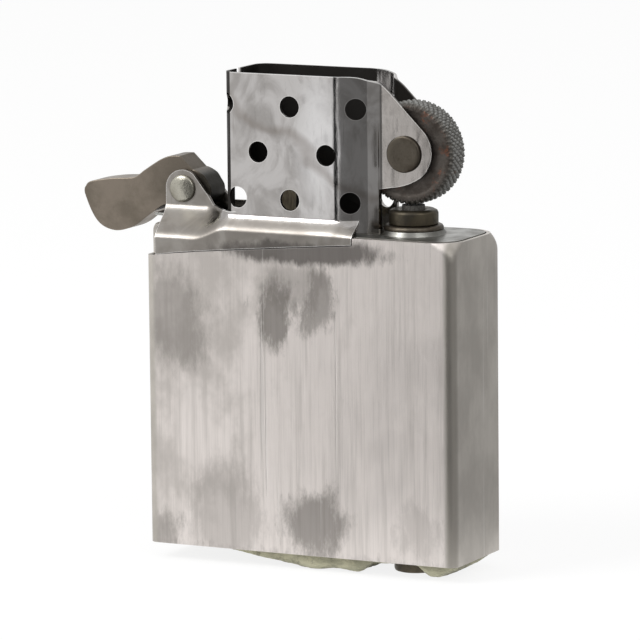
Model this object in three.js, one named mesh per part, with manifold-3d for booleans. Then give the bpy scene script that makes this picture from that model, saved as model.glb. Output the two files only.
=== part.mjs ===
// Insert of a windproof petrol lighter: tank, windscreen, cam, spark wheel, flint and wick.
// Millimetres, +Z up, +X towards the spark wheel, -Y towards the front.
import * as THREE from 'three';
import { mergeVertices } from 'three/addons/utils/BufferGeometryUtils.js';
import Module from 'manifold-3d';

const wasm = await Module();
wasm.setup();

// ---------------------------------------------------------------- driving dimensions

const sheet = 0.4;              // thickness of the tank and windscreen sheet
const seamGap = 0.1;            // gap between two sheets that meet edge to edge
const faceGap = 0.02;           // gap between pieces that are pressed together
const runningGap = 0.05;        // clearance of what turns or slides, each side

const tankWidth = 36;
const tankDepth = 11.5;
const tankHeight = 33.92;       // from the tank's bottom edge to its front top edge
const cornerRadius = 0.95;      // upright edges of the tank
const shoulderRadius = 3.2;     // the same corners at the very top, where the ends round over
const shoulderHeight = 2;       // how far down the shoulders reach
const standHeight = 1.75;       // how far felt and screw stand below the tank's bottom edge

const plateThickness = 0.5;
const plateProud = 0.08;        // the top plate's face above the tank's top edge
const seatHeight = 0.45;        // raised seat pressed into the plate round the flint tube
const seatFlare = 0.2;
const seatMargin = 0.1;         // the seat's face past the collar that stands on it

const wheelRadius = 5.4;
const wheelInset = 7.28;        // from the tank's right side to the wheel's axle
const wheelClearance = 3.11;    // from the top plate to the wheel's rim
const camInset = 2.69;          // from the tank's left side to the cam's rivet
const camRise = 3.57;           // from the top plate to the cam's rivet

const screenHeight = 16.5;      // of the windscreen, above the top plate
const screenFromCam = 5.81;     // from the cam's rivet to the screen's closed end
const screenSetBack = 2.5;      // of the screen's walls behind the tank's, both sides together
const screenCorner = 2;
const edgeInSeat = 0.43;        // of the walls' right edge past the left side of the flint tube's seat
const bendLead = 4.3;           // from where the walls begin to curve in towards the wheel to that edge
const foldLead = 0.9;           // from where a sharper fold begins to that edge
const bendPast = 0.3;           // from that edge to where they have become the flat wheel ears
const foldShare = 0.53;         // of the whole way in, made by the fold
const shoulderRun = 1.6;        // size of the rounded corner between the rim and the slanting shoulder
const slitWidth = 1.1;
const slitDepth = 11;
const slitOffset = -0.8;
const mouthHalf = 2.1;          // opening at the foot of the closed end, where the cam spring comes out
const mouthHeight = 4.4;

const ventRadius = 1.12;
const ventDrop = 3.34;          // from the rim to the top row of vents
const ventPitch = 4.9;
const backVentShift = 0.6;      // of the back wall's vents towards the wheel, past those in front
const backVentDrop = 0.25;
const ventRows = [              // places along the screen, as shares of its length
  [0.02, 0.467, 0.8925],
  [0.254, 0.708],
  [0.109, 0.464, 0.856],
];

const earSpan = 4.28;           // over the outer faces of a pair of ears
const wheelTeeth = 54;
const toothDepth = 0.22;
const wheelChamfer = 0.35;
const wheelRivetShank = 1.1;
const wheelRivetHead = 1.92;
const wheelRivetRise = 0.38;
const wheelEarRadius = 3.25;
const wheelEarShift = 0.12;     // the ear's centre is this far left of the axle
const wheelEarLift = 0.2;       // and this far above it
const wheelEarNeck = 0.75;      // from the bottom of the ear to the notch below it

const camEarRadius = 2;
const camRivetShank = 0.9;
const camRivetHead = 1.45;
const camRivetRise = 0.55;
const camHubRadius = 2.75;      // underside of the cam round its rivet
const camBevel = 0.15;

const skirtInset = 0.9;         // from the tank's left side to the skirts that close its front and back
const skirtShort = 1.63;        // from the skirts' right end to the screen's right edge
const skirtPocket = 1.9;        // depth of the pocket for a skirt, past the tank's rounded corner
const seamDropLeft = 3.05;      // from the top plate to the skirts' lower edge at the left
const seamDropRight = 0.8;      // and at the right
const seamBow = 0.85;
const earFlareTop = 2;          // above the top plate, where the cam ears begin to flare out
const earFlareFoot = -1.4;      // where the flare is flush with the tank
const wallFlareTop = 1.7;       // the same two heights under the windscreen's walls
const wallFlareFoot = -0.2;
const flareBlend = 4;           // length over which one flare becomes the other
const skirtLap = 0.1;           // how far a skirt runs up past its flare
const skirtTuck = 0.5;          // how far its free edge draws in towards the tank
const earSlopeStart = 1.35;     // where the cam ear's arch turns into its sloping edge
const earSlopeRise = 1.48;
const earSlope = 1.25;

const leafThickness = 0.3;
const leafWidth = 2.8;
const leafRise = 0.42;          // how far the leaf's free end stands off the plate
const leafReach = 1.1;          // of the leaf's tip past the tank's left side
const leafRootGap = 0.6;        // from the screen's closed end to the leaf's root
const leafRivetGap = 1.55;      // from the screen's closed end to the leaf's rivet
const leafRivetRadius = 0.55;
const leafRivetHead = 0.85;
const leafRivetRise = 0.35;

const flintRadius = 1.2;
const flintLength = 5;
const tubeClearance = 0.07;     // round the flint
const tubeWall = 0.55;
const tubeFoot = -0.3;
const tubeBelowWheel = 0.53;
const bossLip = 0.79;           // of the tube's thick top end past the tube
const bossEdge = 0.25;
const collarLip = 0.54;         // of the collar past the boss
const collarThickness = 0.5;

const pusherLength = 2.4;
const pusherStem = 0.5;
const springWire = 0.34;
const springTurns = 16;
const screwShankTop = 4.4;
const screwHeadLip = 0.48;      // of the screw's head past the tube
const screwHeadThickness = 1.4;
const screwPitch = 0.5;
const screwThreadDepth = 0.14;
const screwThreadHalf = 0.15;
const screwSlotWidth = 0.6;
const screwSlotDepth = 0.6;

const wickRadius = 1.5;
const wickBelowRim = 5.7;
const wickFootGap = 1;          // from the felt to the wick's lower end
const wickFromScreen = 5;       // from the screen's closed end to the wick
const wickSway = 0.45;
const wickWave = 2.6;           // height over which the wick sways through one radian
const wickWire = 0.22;
const wickHoleClearance = 0.25;

const feltTop = 2.4;
const feltClearance = 0.3;
const feltCorner = 0.8;
const feltFold = 5.12;          // from the flint tube's axis to where the flap of the felt folds
const feltFlapGap = 0.5;        // room at the flap's free end, so that it can swing out
const feltRampStart = 11.6;     // from the fold to where the flap's underside begins to rise
const feltRampRise = 1.3;
const packingDrop = 1.2;        // from the top plate to the packing
const ballGap = 0.35;           // room round each packing ball

// ---------------------------------------------------------------- derived places

const halfDepth = tankDepth / 2;
const halfWidth = tankWidth / 2;
const plateTop = tankHeight + plateProud;
const plateFoot = plateTop - plateThickness;
const seatTop = plateTop + seatHeight;
const wheelX = halfWidth - wheelInset;
const wheelZ = plateTop + wheelClearance + wheelRadius;
const camX = camInset - halfWidth;
const camZ = plateTop + camRise;
const screenLeft = camX + screenFromCam;
const screenTop = plateTop + screenHeight;
const apronLeft = skirtInset - halfWidth;
const leafTip = -halfWidth - leafReach;
const leafRoot = screenLeft - leafRootGap;
const leafRivetX = screenLeft - leafRivetGap;
const earOuter = earSpan / 2;
const earInner = earOuter - sheet;
const pieceHalf = earInner - 2 * runningGap;    // half the width of the cam and of the wheel
const screenHalf = halfDepth - screenSetBack / 2;
const tubeX = wheelX;
const tubeBore = flintRadius + tubeClearance;
const tubeRadius = tubeBore + tubeWall;
const tubeTop = wheelZ - wheelRadius - tubeBelowWheel;
const bossRadius = tubeRadius + bossLip;
const collarRadius = bossRadius + collarLip;
const seatRadius = collarRadius + seatMargin;
const screenEdge = wheelX - seatRadius + edgeInSeat;
const screenBendStart = screenEdge - bendLead;
const screenFoldStart = screenEdge - foldLead;
const screenBendEnd = screenEdge + bendPast;
const apronRight = screenEdge - skirtShort;
const screwHeadRadius = tubeRadius + screwHeadLip;
const flintTop = wheelZ - wheelRadius - 2 * runningGap;
const flintFoot = flintTop - flintLength;
const pusherTop = flintFoot - faceGap;
const pusherFoot = pusherTop - pusherLength;
const wickTop = screenTop - wickBelowRim;
const wickFoot = feltTop + wickFootGap;
const wickX = screenLeft + wickFromScreen;
const feltSplit = tubeX - feltFold;
const segments = 24;            // sides of a round piece

// ---------------------------------------------------------------- solid helpers

function toSolid(geometry) {
  const bare = geometry.clone();
  bare.deleteAttribute('normal');
  bare.deleteAttribute('uv');
  const merged = mergeVertices(bare, 1e-4);
  const vertProperties = new Float32Array(merged.attributes.position.array);
  const triVerts = new Uint32Array(merged.index.array);
  return new wasm.Manifold(new wasm.Mesh({ numProp: 3, vertProperties, triVerts }));
}

function toGeometry(solid) {
  const mesh = solid.getMesh();
  const geometry = new THREE.BufferGeometry();
  geometry.setAttribute('position', new THREE.BufferAttribute(mesh.vertProperties, 3));
  geometry.setIndex(new THREE.BufferAttribute(mesh.triVerts, 1));
  return geometry;
}

function joined(first, ...others) {
  return toGeometry(others.reduce((sum, other) => sum.add(toSolid(other)), toSolid(first)));
}

function cut(body, ...tools) {
  return toGeometry(tools.reduce((rest, tool) => rest.subtract(toSolid(tool)), toSolid(body)));
}

function common(first, second) {
  return toGeometry(toSolid(first).intersect(toSolid(second)));
}

// A closed skin over rows of points: each row is a ring, and so is each column.
function ringSkin(rows) {
  const count = rows[0].length;
  const positions = rows.flat().flatMap((p) => [p.x, p.y, p.z]);
  const indices = [];
  rows.forEach((row, i) => {
    const next = (i + 1) % rows.length;
    for (let j = 0; j < count; j += 1) {
      const k = (j + 1) % count;
      const a = i * count + j;
      const b = i * count + k;
      const c = next * count + k;
      const d = next * count + j;
      indices.push(a, b, c, a, c, d);
    }
  });
  const geometry = new THREE.BufferGeometry();
  geometry.setAttribute('position', new THREE.Float32BufferAttribute(positions, 3));
  geometry.setIndex(indices);
  return geometry;
}

// A sheet bounded by two grids of points, one on each face, closed along its four edges.
function sheetSkin(outer, inner) {
  const last = outer.length - 1;
  const rows = outer.map((row, i) => [...row, ...inner[i].slice().reverse()]);
  const geometry = ringSkin(rows);
  const count = rows[0].length;
  const half = count / 2;
  const open = geometry.index.array;
  const kept = Array.from(open.slice(0, last * count * 6));
  const cap = (row, flip) => {
    for (let j = 0; j < half - 1; j += 1) {
      const a = row * count + j;
      const b = row * count + j + 1;
      const c = row * count + count - 2 - j;
      const d = row * count + count - 1 - j;
      const faces = flip ? [a, c, b, a, d, c] : [a, b, c, a, c, d];
      kept.push(...faces);
    }
  };
  cap(0, true);
  cap(last, false);
  geometry.setIndex(kept);
  return geometry;
}

// An outline in X and Z pushed through along Y, centred on y.
function plateXZ(shape, depth, { y = 0, bevel = 0, curve = 12 } = {}) {
  const geometry = new THREE.ExtrudeGeometry(shape, {
    depth: depth - 2 * bevel,
    bevelEnabled: bevel > 0,
    bevelThickness: bevel,
    bevelSize: bevel,
    bevelOffset: -bevel,
    bevelSegments: 1,
    curveSegments: curve,
  });
  geometry.translate(0, 0, bevel - depth / 2);
  geometry.rotateX(Math.PI / 2);
  geometry.translate(0, y, 0);
  return geometry;
}

function polygonXZ(corners) {
  return new THREE.Shape(corners.map(([x, z]) => new THREE.Vector2(x, z)));
}

// A profile of [radius, height] pairs turned about +Z.
function turned(profile, sides = segments) {
  const points = profile.map(([r, z]) => new THREE.Vector2(r, z));
  const geometry = new THREE.LatheGeometry(points, sides);
  geometry.rotateX(Math.PI / 2);
  return geometry;
}

function turnedAt(profile, x, y = 0, sides = segments) {
  return turned(profile, sides).translate(x, y, 0);
}

// A round bar along Y, centred on the front-to-back middle.
function barY(radius, length, x, z) {
  const geometry = new THREE.CylinderGeometry(radius, radius, length, segments);
  geometry.translate(x, 0, z);
  return geometry;
}

function boxBetween(low, high) {
  const size = high.map((value, i) => value - low[i]);
  const geometry = new THREE.BoxGeometry(...size);
  geometry.translate(...high.map((value, i) => (value + low[i]) / 2));
  return geometry;
}

function smoothStep(from, to, value) {
  const t = THREE.MathUtils.clamp((value - from) / (to - from), 0, 1);
  return t * t * (3 - 2 * t);
}

function spaced(from, to, steps) {
  return Array.from({ length: steps + 1 }, (_, i) => from + ((to - from) * i) / steps);
}

// A rounded rectangle in plan, as one ring of points at height z.
function roundedRing(halfX, halfY, radius, z, stepsPerCorner = 6) {
  const corners = [[1, -1, -90], [1, 1, 0], [-1, 1, 90], [-1, -1, 180]];
  return corners.flatMap(([sx, sy, start]) => spaced(start, start + 90, stepsPerCorner).map((degrees) => {
    const angle = THREE.MathUtils.degToRad(degrees);
    const x = sx * (halfX - radius) + radius * Math.cos(angle);
    const y = sy * (halfY - radius) + radius * Math.sin(angle);
    return new THREE.Vector3(x, y, z);
  }));
}

function roundedBlock(lowX, highX, halfY, radius, lowZ, highZ) {
  const halfX = (highX - lowX) / 2;
  const ring = roundedRing(halfX, halfY, radius, 0, 4);
  const shape = new THREE.Shape(ring.map((p) => new THREE.Vector2(p.x, p.y)));
  const geometry = new THREE.ExtrudeGeometry(shape, { depth: highZ - lowZ, bevelEnabled: false });
  geometry.translate((lowX + highX) / 2, 0, lowZ);
  return geometry;
}

// ---------------------------------------------------------------- tank and top plate

// Radius of the tank's upright corners at height z.
function tankCorner(z) {
  const t = THREE.MathUtils.clamp((z - tankHeight + shoulderHeight) / shoulderHeight, 0, 1);
  return cornerRadius + (shoulderRadius - cornerRadius) * t * t;
}

function tankRing(z, inset) {
  const radius = Math.max(tankCorner(z) - inset, sheet / 2);
  return roundedRing(halfWidth - inset, halfDepth - inset, radius, z);
}

// Lower edge of the skirts: the seam where they meet the tank's front and back.
function seamHeight(x) {
  const t = (x - apronLeft) / (apronRight - apronLeft);
  return plateTop - THREE.MathUtils.lerp(seamDropLeft, seamDropRight, t ** seamBow);
}

// Side view of the pocket in the tank's front and back that a skirt fills: it runs out past the left corner.
function skirtPocketShape() {
  const left = -halfWidth - 1;
  const right = apronRight + seamGap;
  const seam = spaced(apronLeft, right, 8).map((x) => [x, seamHeight(x) - seamGap]);
  const above = tankHeight + shoulderHeight;
  return polygonXZ([[left, seamHeight(apronLeft) - seamGap], ...seam, [right, above], [left, above]]);
}

function tankShell() {
  const heights = [0, ...spaced(tankHeight - shoulderHeight, tankHeight, 6)];
  const outer = heights.map((z) => tankRing(z, 0));
  const inner = heights.map((z) => tankRing(z, sheet)).reverse();
  const cutDepth = 2 * skirtPocket;
  const frontCut = plateXZ(skirtPocketShape(), cutDepth, { y: -halfDepth });
  const backCut = plateXZ(skirtPocketShape(), cutDepth, { y: halfDepth });
  return cut(ringSkin([...outer, ...inner]), frontCut, backCut);
}

function topPlate() {
  const inset = sheet + seamGap;
  const ring = tankRing(tankHeight, inset);
  const shape = new THREE.Shape(ring.map((p) => new THREE.Vector2(p.x, p.y)));
  const slab = new THREE.ExtrudeGeometry(shape, { depth: plateThickness, bevelEnabled: false });
  slab.translate(0, 0, plateFoot);
  const seatRim = seatRadius + seatFlare;
  const seat = turnedAt([[0, plateFoot], [seatRim, plateFoot], [seatRim, plateTop], [seatRadius, seatTop],
    [0, seatTop]], tubeX);
  const neckHalf = screenHalf - 1.5 * sheet;
  const neckEnd = screenLeft + screenCorner / 2 + seamGap;
  const under = plateFoot - 1;
  const over = seatTop + 1;
  const frontNeck = boxBetween([-halfWidth, -halfDepth, under], [neckEnd, -neckHalf, over]);
  const backNeck = boxBetween([-halfWidth, neckHalf, under], [neckEnd, halfDepth, over]);
  const wickHole = turnedAt(rod(wickRadius + wickHoleClearance, under, over), wickX);
  const tubeHole = turnedAt(rod(tubeRadius + faceGap, under, over), tubeX);
  const leafHole = turnedAt(rod(leafRivetRadius + faceGap, under, over), leafRivetX);
  return cut(joined(slab, seat), frontNeck, backNeck, wickHole, tubeHole, leafHole);
}

function rod(radius, low, high) {
  return [[0, low], [radius, low], [radius, high], [0, high]];
}

// ---------------------------------------------------------------- windscreen

// Outer face of the front wall in plan at x, as a distance from the middle.
function wallOffset(x) {
  const bend = smoothStep(screenBendStart, screenBendEnd, x);
  const fold = smoothStep(screenFoldStart, screenBendEnd, x);
  return THREE.MathUtils.lerp(screenHalf, earOuter, THREE.MathUtils.lerp(bend, fold, foldShare));
}

// How much further apart the sheet's two faces are across the tank where the wall runs at a slant.
function wallSlant(x) {
  const step = 0.05;
  return Math.hypot(1, (wallOffset(x + step) - wallOffset(x - step)) / (2 * step));
}

// Plan of half the screen, from the middle of its closed end to the tip of an ear.
function screenPath(inset) {
  const radius = screenCorner - inset;
  const centreX = screenLeft + screenCorner;
  const centreY = screenHalf - screenCorner;
  const corner = spaced(180, 270, 6).map((degrees) => {
    const angle = THREE.MathUtils.degToRad(degrees);
    return [centreX + radius * Math.cos(angle), -centreY + radius * Math.sin(angle)];
  });
  const gentle = spaced(screenBendStart, screenFoldStart, 6);
  const stations = [...gentle, ...spaced(screenFoldStart, screenBendEnd, 7).slice(1)];
  const bend = stations.map((x) => [x, inset * wallSlant(x) - wallOffset(x)]);
  const earTip = wheelX + 2 * wheelEarRadius;
  return [...corner, ...bend, [earTip, inset - earOuter]];
}

function screenWall() {
  const front = screenPath(0);
  const frontInner = screenPath(sheet).reverse();
  const mirror = (points) => points.map(([x, y]) => [x, -y]).reverse();
  const outline = [...mirror(front), ...front, ...frontInner, ...mirror(frontInner)];
  const shape = new THREE.Shape(outline.map(([x, y]) => new THREE.Vector2(x, y)));
  const foot = plateTop + faceGap;
  const geometry = new THREE.ExtrudeGeometry(shape, { depth: screenTop - foot, bevelEnabled: false });
  geometry.translate(0, 0, foot);
  return geometry;
}

// Side view of the screen: rim, slanting shoulder, round wheel ear and the upright edge below.
function screenSide() {
  const earX = wheelX - wheelEarShift;
  const earZ = wheelZ + wheelEarLift;
  const diagonal = wheelEarRadius * Math.SQRT1_2;
  const cornerX = earX + earZ + 2 * diagonal - screenTop;
  const underEar = earZ - wheelEarRadius - wheelEarNeck;
  const arcStart = -Math.PI / 3;
  const arcX = earX + wheelEarRadius * Math.cos(arcStart);
  const arcZ = earZ + wheelEarRadius * Math.sin(arcStart);
  const shape = new THREE.Shape();
  shape.moveTo(screenLeft - 1, plateTop - 1);
  shape.lineTo(screenEdge, plateTop - 1);
  shape.lineTo(screenEdge, underEar);
  shape.lineTo(arcX - wheelEarRadius, underEar + wheelEarNeck / 3);
  shape.quadraticCurveTo(earX, underEar + wheelEarNeck / 2, arcX, arcZ);
  shape.absarc(earX, earZ, wheelEarRadius, arcStart, Math.PI / 4, false);
  shape.lineTo(cornerX + shoulderRun, screenTop - shoulderRun);
  shape.quadraticCurveTo(cornerX, screenTop, cornerX - 1.4 * shoulderRun, screenTop);
  shape.lineTo(screenLeft - 1, screenTop);
  return plateXZ(shape, tankDepth);
}

// Section through a skirt at x: it hangs flush with the tank up to the flare's foot, then bends in
// to the plane of the cam ears at the left, or of the screen's wall further right.
function skirtSection(x) {
  const blend = smoothStep(screenLeft - 0.75 * flareBlend, screenLeft + 0.25 * flareBlend, x);
  const wallPlane = x > screenBendStart ? wallOffset(x) : screenHalf;
  return {
    plane: THREE.MathUtils.lerp(earOuter, wallPlane, blend),
    foot: plateTop + THREE.MathUtils.lerp(earFlareFoot, wallFlareFoot, blend),
    top: plateTop + THREE.MathUtils.lerp(earFlareTop, wallFlareTop, blend),
  };
}

// Upper edge of a skirt: the arch of the cam ear, a slope down from it, then just over the wall's foot.
function skirtTop(x) {
  const lowest = skirtSection(x).top + skirtLap;
  if (x > screenLeft) return lowest;
  const dx = x - camX;
  const arch = Math.abs(dx) < camEarRadius ? camZ + Math.sqrt(camEarRadius ** 2 - dx ** 2) : camZ;
  const slope = camZ + earSlopeRise - (dx - earSlopeStart) * earSlope;
  return dx < earSlopeStart ? arch : Math.max(slope, lowest);
}

function skirt(side) {
  const leftX = camX - camEarRadius;
  const arch = spaced(0, 90, 7).map((d) => camX - camEarRadius * Math.cos(THREE.MathUtils.degToRad(d)));
  const rest = [...spaced(camX + 0.3, screenLeft, 16), ...spaced(screenLeft + 1, apronRight, 9)];
  const flareSteps = 6;
  const grid = (inset) => [...arch, ...rest].map((x) => {
    const { plane, foot, top } = skirtSection(x);
    const heights = [seamHeight(Math.max(x, apronLeft)), ...spaced(foot, top, flareSteps), skirtTop(x)];
    return heights.map((z) => {
      const out = THREE.MathUtils.lerp(halfDepth, plane, smoothStep(foot, top, z));
      const tuck = skirtTuck * smoothStep(top, foot, z) * smoothStep(camX + camEarRadius, leftX, x);
      return new THREE.Vector3(x + tuck, side * (out - inset), z);
    });
  });
  const outer = grid(0);
  const inner = grid(sheet);
  return side < 0 ? sheetSkin(inner, outer) : sheetSkin(outer, inner);
}

// A vent at arc length s along the front wall, square to the sheet.
function ventCutter(station, z, side) {
  const length = 6 * sheet;
  const cornerX = screenLeft + screenCorner;
  const turn = Math.max(cornerX - station, 0) / screenCorner;
  const x = turn > 0 ? cornerX - screenCorner * Math.sin(turn) : station;
  const y = turn > 0 ? screenHalf - screenCorner + screenCorner * Math.cos(turn) : wallOffset(x);
  const step = 0.05;
  const lean = turn > 0 ? -turn : Math.atan2(wallOffset(x - step) - wallOffset(x + step), 2 * step);
  const geometry = new THREE.CylinderGeometry(ventRadius, ventRadius, length, segments);
  geometry.rotateZ(-lean);
  geometry.translate(x, y, z);
  if (side < 0) geometry.rotateX(Math.PI).translate(0, 0, 2 * z);
  return geometry;
}

function vents() {
  const length = screenEdge - screenLeft;
  return ventRows.flatMap((shares, row) => shares.flatMap((share) => {
    const station = screenLeft + share * length;
    const z = screenTop - ventDrop - row * ventPitch;
    return [ventCutter(station, z, -1), ventCutter(station + backVentShift, z - backVentDrop, 1)];
  }));
}

function chimney() {
  const walls = common(screenWall(), screenSide());
  const body = joined(walls, skirt(-1), skirt(1));
  const slit = boxBetween([screenLeft - 1, slitOffset - slitWidth / 2, screenTop - slitDepth],
    [screenLeft + sheet + 1, slitOffset + slitWidth / 2, screenTop + 1]);
  const mouth = boxBetween([screenLeft - 1, -mouthHalf, plateTop - 1],
    [screenLeft + sheet + runningGap, mouthHalf, plateTop + mouthHeight]);
  const wheelPin = barY(wheelRivetShank + faceGap, tankDepth, wheelX, wheelZ);
  const camPin = barY(camRivetShank + faceGap, tankDepth, camX, camZ);
  const inside = screenHalf - sheet;
  const clearBelow = boxBetween([screenLeft + sheet + runningGap, -inside, plateFoot - 1],
    [screenEdge, inside, plateTop + faceGap]);
  return cut(body, ...vents(), slit, mouth, wheelPin, camPin, clearBelow);
}

// ---------------------------------------------------------------- rivets

// A rivet across a pair of ears: a shank with a low head outside each ear.
function crossRivet(shank, head, rise, domed) {
  const outside = earOuter + faceGap;
  const edge = rise * (domed ? 0.35 : 0.6);
  const crown = domed
    ? spaced(0, 90, 6).map((degrees) => {
      const angle = THREE.MathUtils.degToRad(degrees);
      return [head * Math.cos(angle), edge + (rise - edge) * Math.sin(angle)];
    })
    : [[head, edge], [head - rise * 0.65, rise], [0, rise]];
  const upper = crown.map(([r, h]) => [Math.max(r, 0), outside + h]);
  upper[upper.length - 1][0] = 0;
  const half = [[shank, outside], [head, outside], ...upper];
  const lower = half.map(([r, h]) => [r, -h]).reverse();
  const geometry = turned([...lower, ...half]);
  geometry.rotateX(Math.PI / 2);
  return geometry;
}

function wheelRivet() {
  return crossRivet(wheelRivetShank, wheelRivetHead, wheelRivetRise, false).translate(wheelX, 0, wheelZ);
}

function camRivet() {
  return crossRivet(camRivetShank, camRivetHead, camRivetRise, true).translate(camX, 0, camZ);
}

// ---------------------------------------------------------------- cam and its leaf spring

// Side view of the cam about its rivet: thumb-shaped lever to the left, nose above, heel right.
function camOutline() {
  const shape = new THREE.Shape();
  const start = new THREE.Vector2(-0.54, 3.39);
  const heelTop = [0.93, 2.01];
  const heel = [[1.45, 1.87], [2.22, 1.44], [2.67, 0.83], [3.1, 0.04], [2.98, -1.07], [2.4, -1.75]];
  const underLever = [[-2.6, -1.95], [-4.57, -3.26], [-5.89, -4.24], [-7.19, -4.8], [-8.5, -5.01],
    [-9.79, -4.7], [-10.71, -4.01], [-11.43, -2.9], [-12.05, -1.44]];
  const overLever = [[-12.18, -0.9], [-12.05, -0.45], [-11.38, 0.14], [-8.95, 0.58], [-7.09, 0.72],
    [-5.94, 0.9], [-4.95, 1.6], [-3.57, 2.5], [-2.7, 2.99], [-1.71, 3.33]];
  const toPoints = (list) => list.map(([x, z]) => new THREE.Vector2(x, z));
  const hubStart = -Math.PI * 0.235;
  const hubEnd = -Math.PI * 0.72;
  shape.moveTo(start.x, start.y);
  shape.lineTo(...heelTop);
  shape.splineThru(toPoints(heel));
  shape.absarc(0, 0, camHubRadius, hubStart, hubEnd, true);
  shape.splineThru(toPoints(underLever));
  shape.splineThru(toPoints([...overLever, [start.x, start.y]]));
  return shape;
}

function cam() {
  const body = plateXZ(camOutline(), 2 * pieceHalf, { bevel: camBevel, curve: 4 });
  const bore = barY(camRivetShank + runningGap, tankDepth, 0, 0);
  return cut(body, bore).translate(camX, 0, camZ);
}

function camSpring() {
  const foot = plateTop + faceGap;
  const lift = (x) => foot + leafRise * smoothStep(leafRivetX - leafRivetHead, leafTip, x);
  const stations = spaced(leafRoot, leafTip, 14);
  const below = stations.map((x) => [x, lift(x)]);
  const above = stations.map((x) => [x, lift(x) + leafThickness]).reverse();
  const leaf = plateXZ(polygonXZ([...below, ...above]), leafWidth);
  const hole = turnedAt(rod(leafRivetRadius + faceGap, foot - 1, foot + 1), leafRivetX);
  return cut(leaf, hole);
}

function camSpringRivet() {
  const seat = plateTop + 2 * faceGap + leafThickness;
  const under = plateFoot - faceGap;
  return turnedAt([[0, under - leafRivetRise], [leafRivetHead, under - leafRivetRise], [leafRivetHead, under],
    [leafRivetRadius, under], [leafRivetRadius, seat], [leafRivetHead, seat],
    [leafRivetHead * 0.8, seat + leafRivetRise * 0.7], [0, seat + leafRivetRise]], leafRivetX);
}

// ---------------------------------------------------------------- spark wheel

function sparkWheel() {
  const shape = new THREE.Shape();
  const stepsPerTooth = 4;
  const depths = [0, 0, 1, 1];
  const count = wheelTeeth * stepsPerTooth;
  for (let i = 0; i < count; i += 1) {
    const angle = (i * 2 * Math.PI) / count;
    const radius = wheelRadius - toothDepth * depths[i % stepsPerTooth];
    const point = [radius * Math.cos(angle), radius * Math.sin(angle)];
    if (i === 0) shape.moveTo(...point);
    else shape.lineTo(...point);
  }
  const toothed = plateXZ(shape, 2 * pieceHalf);
  const rim = wheelRadius - wheelChamfer;
  const envelope = turned([[0, -pieceHalf], [rim, -pieceHalf], [wheelRadius + faceGap, wheelChamfer - pieceHalf],
    [wheelRadius + faceGap, pieceHalf - wheelChamfer], [rim, pieceHalf], [0, pieceHalf]], 72);
  envelope.rotateX(Math.PI / 2);
  const bore = barY(wheelRivetShank + runningGap, tankDepth, 0, 0);
  return cut(common(toothed, envelope), bore).translate(wheelX, 0, wheelZ);
}

// ---------------------------------------------------------------- flint tube and what runs in it

function flintTube() {
  const bossFoot = seatTop + collarThickness + 2 * faceGap;
  return turnedAt([[tubeBore, tubeFoot], [tubeRadius, tubeFoot], [tubeRadius, bossFoot], [bossRadius, bossFoot],
    [bossRadius, tubeTop - bossEdge], [bossRadius - bossEdge, tubeTop], [tubeBore, tubeTop],
    [tubeBore, tubeFoot]], tubeX);
}

function flintTubeCollar() {
  const foot = seatTop + faceGap;
  const bore = tubeRadius + faceGap;
  const edge = collarThickness / 2;
  return turnedAt([[bore, foot], [collarRadius, foot], [collarRadius, foot + edge],
    [collarRadius - edge, foot + collarThickness], [bore, foot + collarThickness], [bore, foot]], tubeX);
}

function flint() {
  return turnedAt(rod(flintRadius, flintFoot, flintTop), tubeX, 0, 28);
}

function flintPusher() {
  const shoulder = pusherTop - pusherLength / 2;
  return turnedAt([[0, pusherFoot], [pusherStem, pusherFoot], [pusherStem, shoulder], [flintRadius, shoulder],
    [flintRadius, pusherTop], [0, pusherTop]], tubeX, 0, 28);
}

class Helix extends THREE.Curve {
  constructor(radius, low, high, turns) {
    super();
    Object.assign(this, { radius, low, high, turns });
  }

  getPoint(t) {
    const angle = t * this.turns * 2 * Math.PI;
    const z = THREE.MathUtils.lerp(this.low, this.high, t);
    return new THREE.Vector3(this.radius * Math.cos(angle), this.radius * Math.sin(angle), z);
  }
}

function circleShape(radius, sides) {
  const points = spaced(0, 2 * Math.PI, sides).slice(0, sides);
  return new THREE.Shape(points.map((a) => new THREE.Vector2(radius * Math.cos(a), radius * Math.sin(a))));
}

function flintSpring() {
  const wire = springWire / 2;
  const coil = flintRadius - wire - runningGap;
  const low = screwShankTop + wire + runningGap;
  const high = pusherTop - pusherLength / 2 - wire - runningGap;
  const path = new Helix(coil, low, high, springTurns);
  const geometry = new THREE.ExtrudeGeometry(circleShape(wire, 5), {
    steps: springTurns * 9,
    bevelEnabled: false,
    extrudePath: path,
  });
  return geometry.translate(tubeX, 0, 0);
}

function flintScrew() {
  const foot = -standHeight;
  const seat = foot + screwHeadThickness;
  const crest = flintRadius;
  const threads = spaced(seat + screwPitch, screwShankTop - screwPitch, 6).flatMap((z) =>
    [[crest, z - screwThreadHalf], [crest - screwThreadDepth, z], [crest, z + screwThreadHalf]]);
  const body = turnedAt([[0, foot], [screwHeadRadius - 0.2, foot], [screwHeadRadius, foot + 0.2],
    [screwHeadRadius, seat], [crest, seat], ...threads, [crest, screwShankTop], [0, screwShankTop]], tubeX, 0, 20);
  const slot = boxBetween([tubeX - screwHeadRadius - 1, -screwSlotWidth / 2, foot - 1],
    [tubeX + screwHeadRadius + 1, screwSlotWidth / 2, foot + screwSlotDepth]);
  return cut(body, slot);
}

// ---------------------------------------------------------------- wick, packing and felt

class WickLine extends THREE.Curve {
  getPoint(t) {
    const z = THREE.MathUtils.lerp(wickFoot, wickTop, t);
    const inTank = 1 - smoothStep(plateTop - 3 * wickWave, plateTop - wickWave, z);
    return new THREE.Vector3(wickX + wickSway * inTank * Math.sin(z / wickWave), 0, z);
  }
}

function alongWick(shape) {
  return new THREE.ExtrudeGeometry(shape, { steps: 26, bevelEnabled: false, extrudePath: new WickLine() });
}

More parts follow.
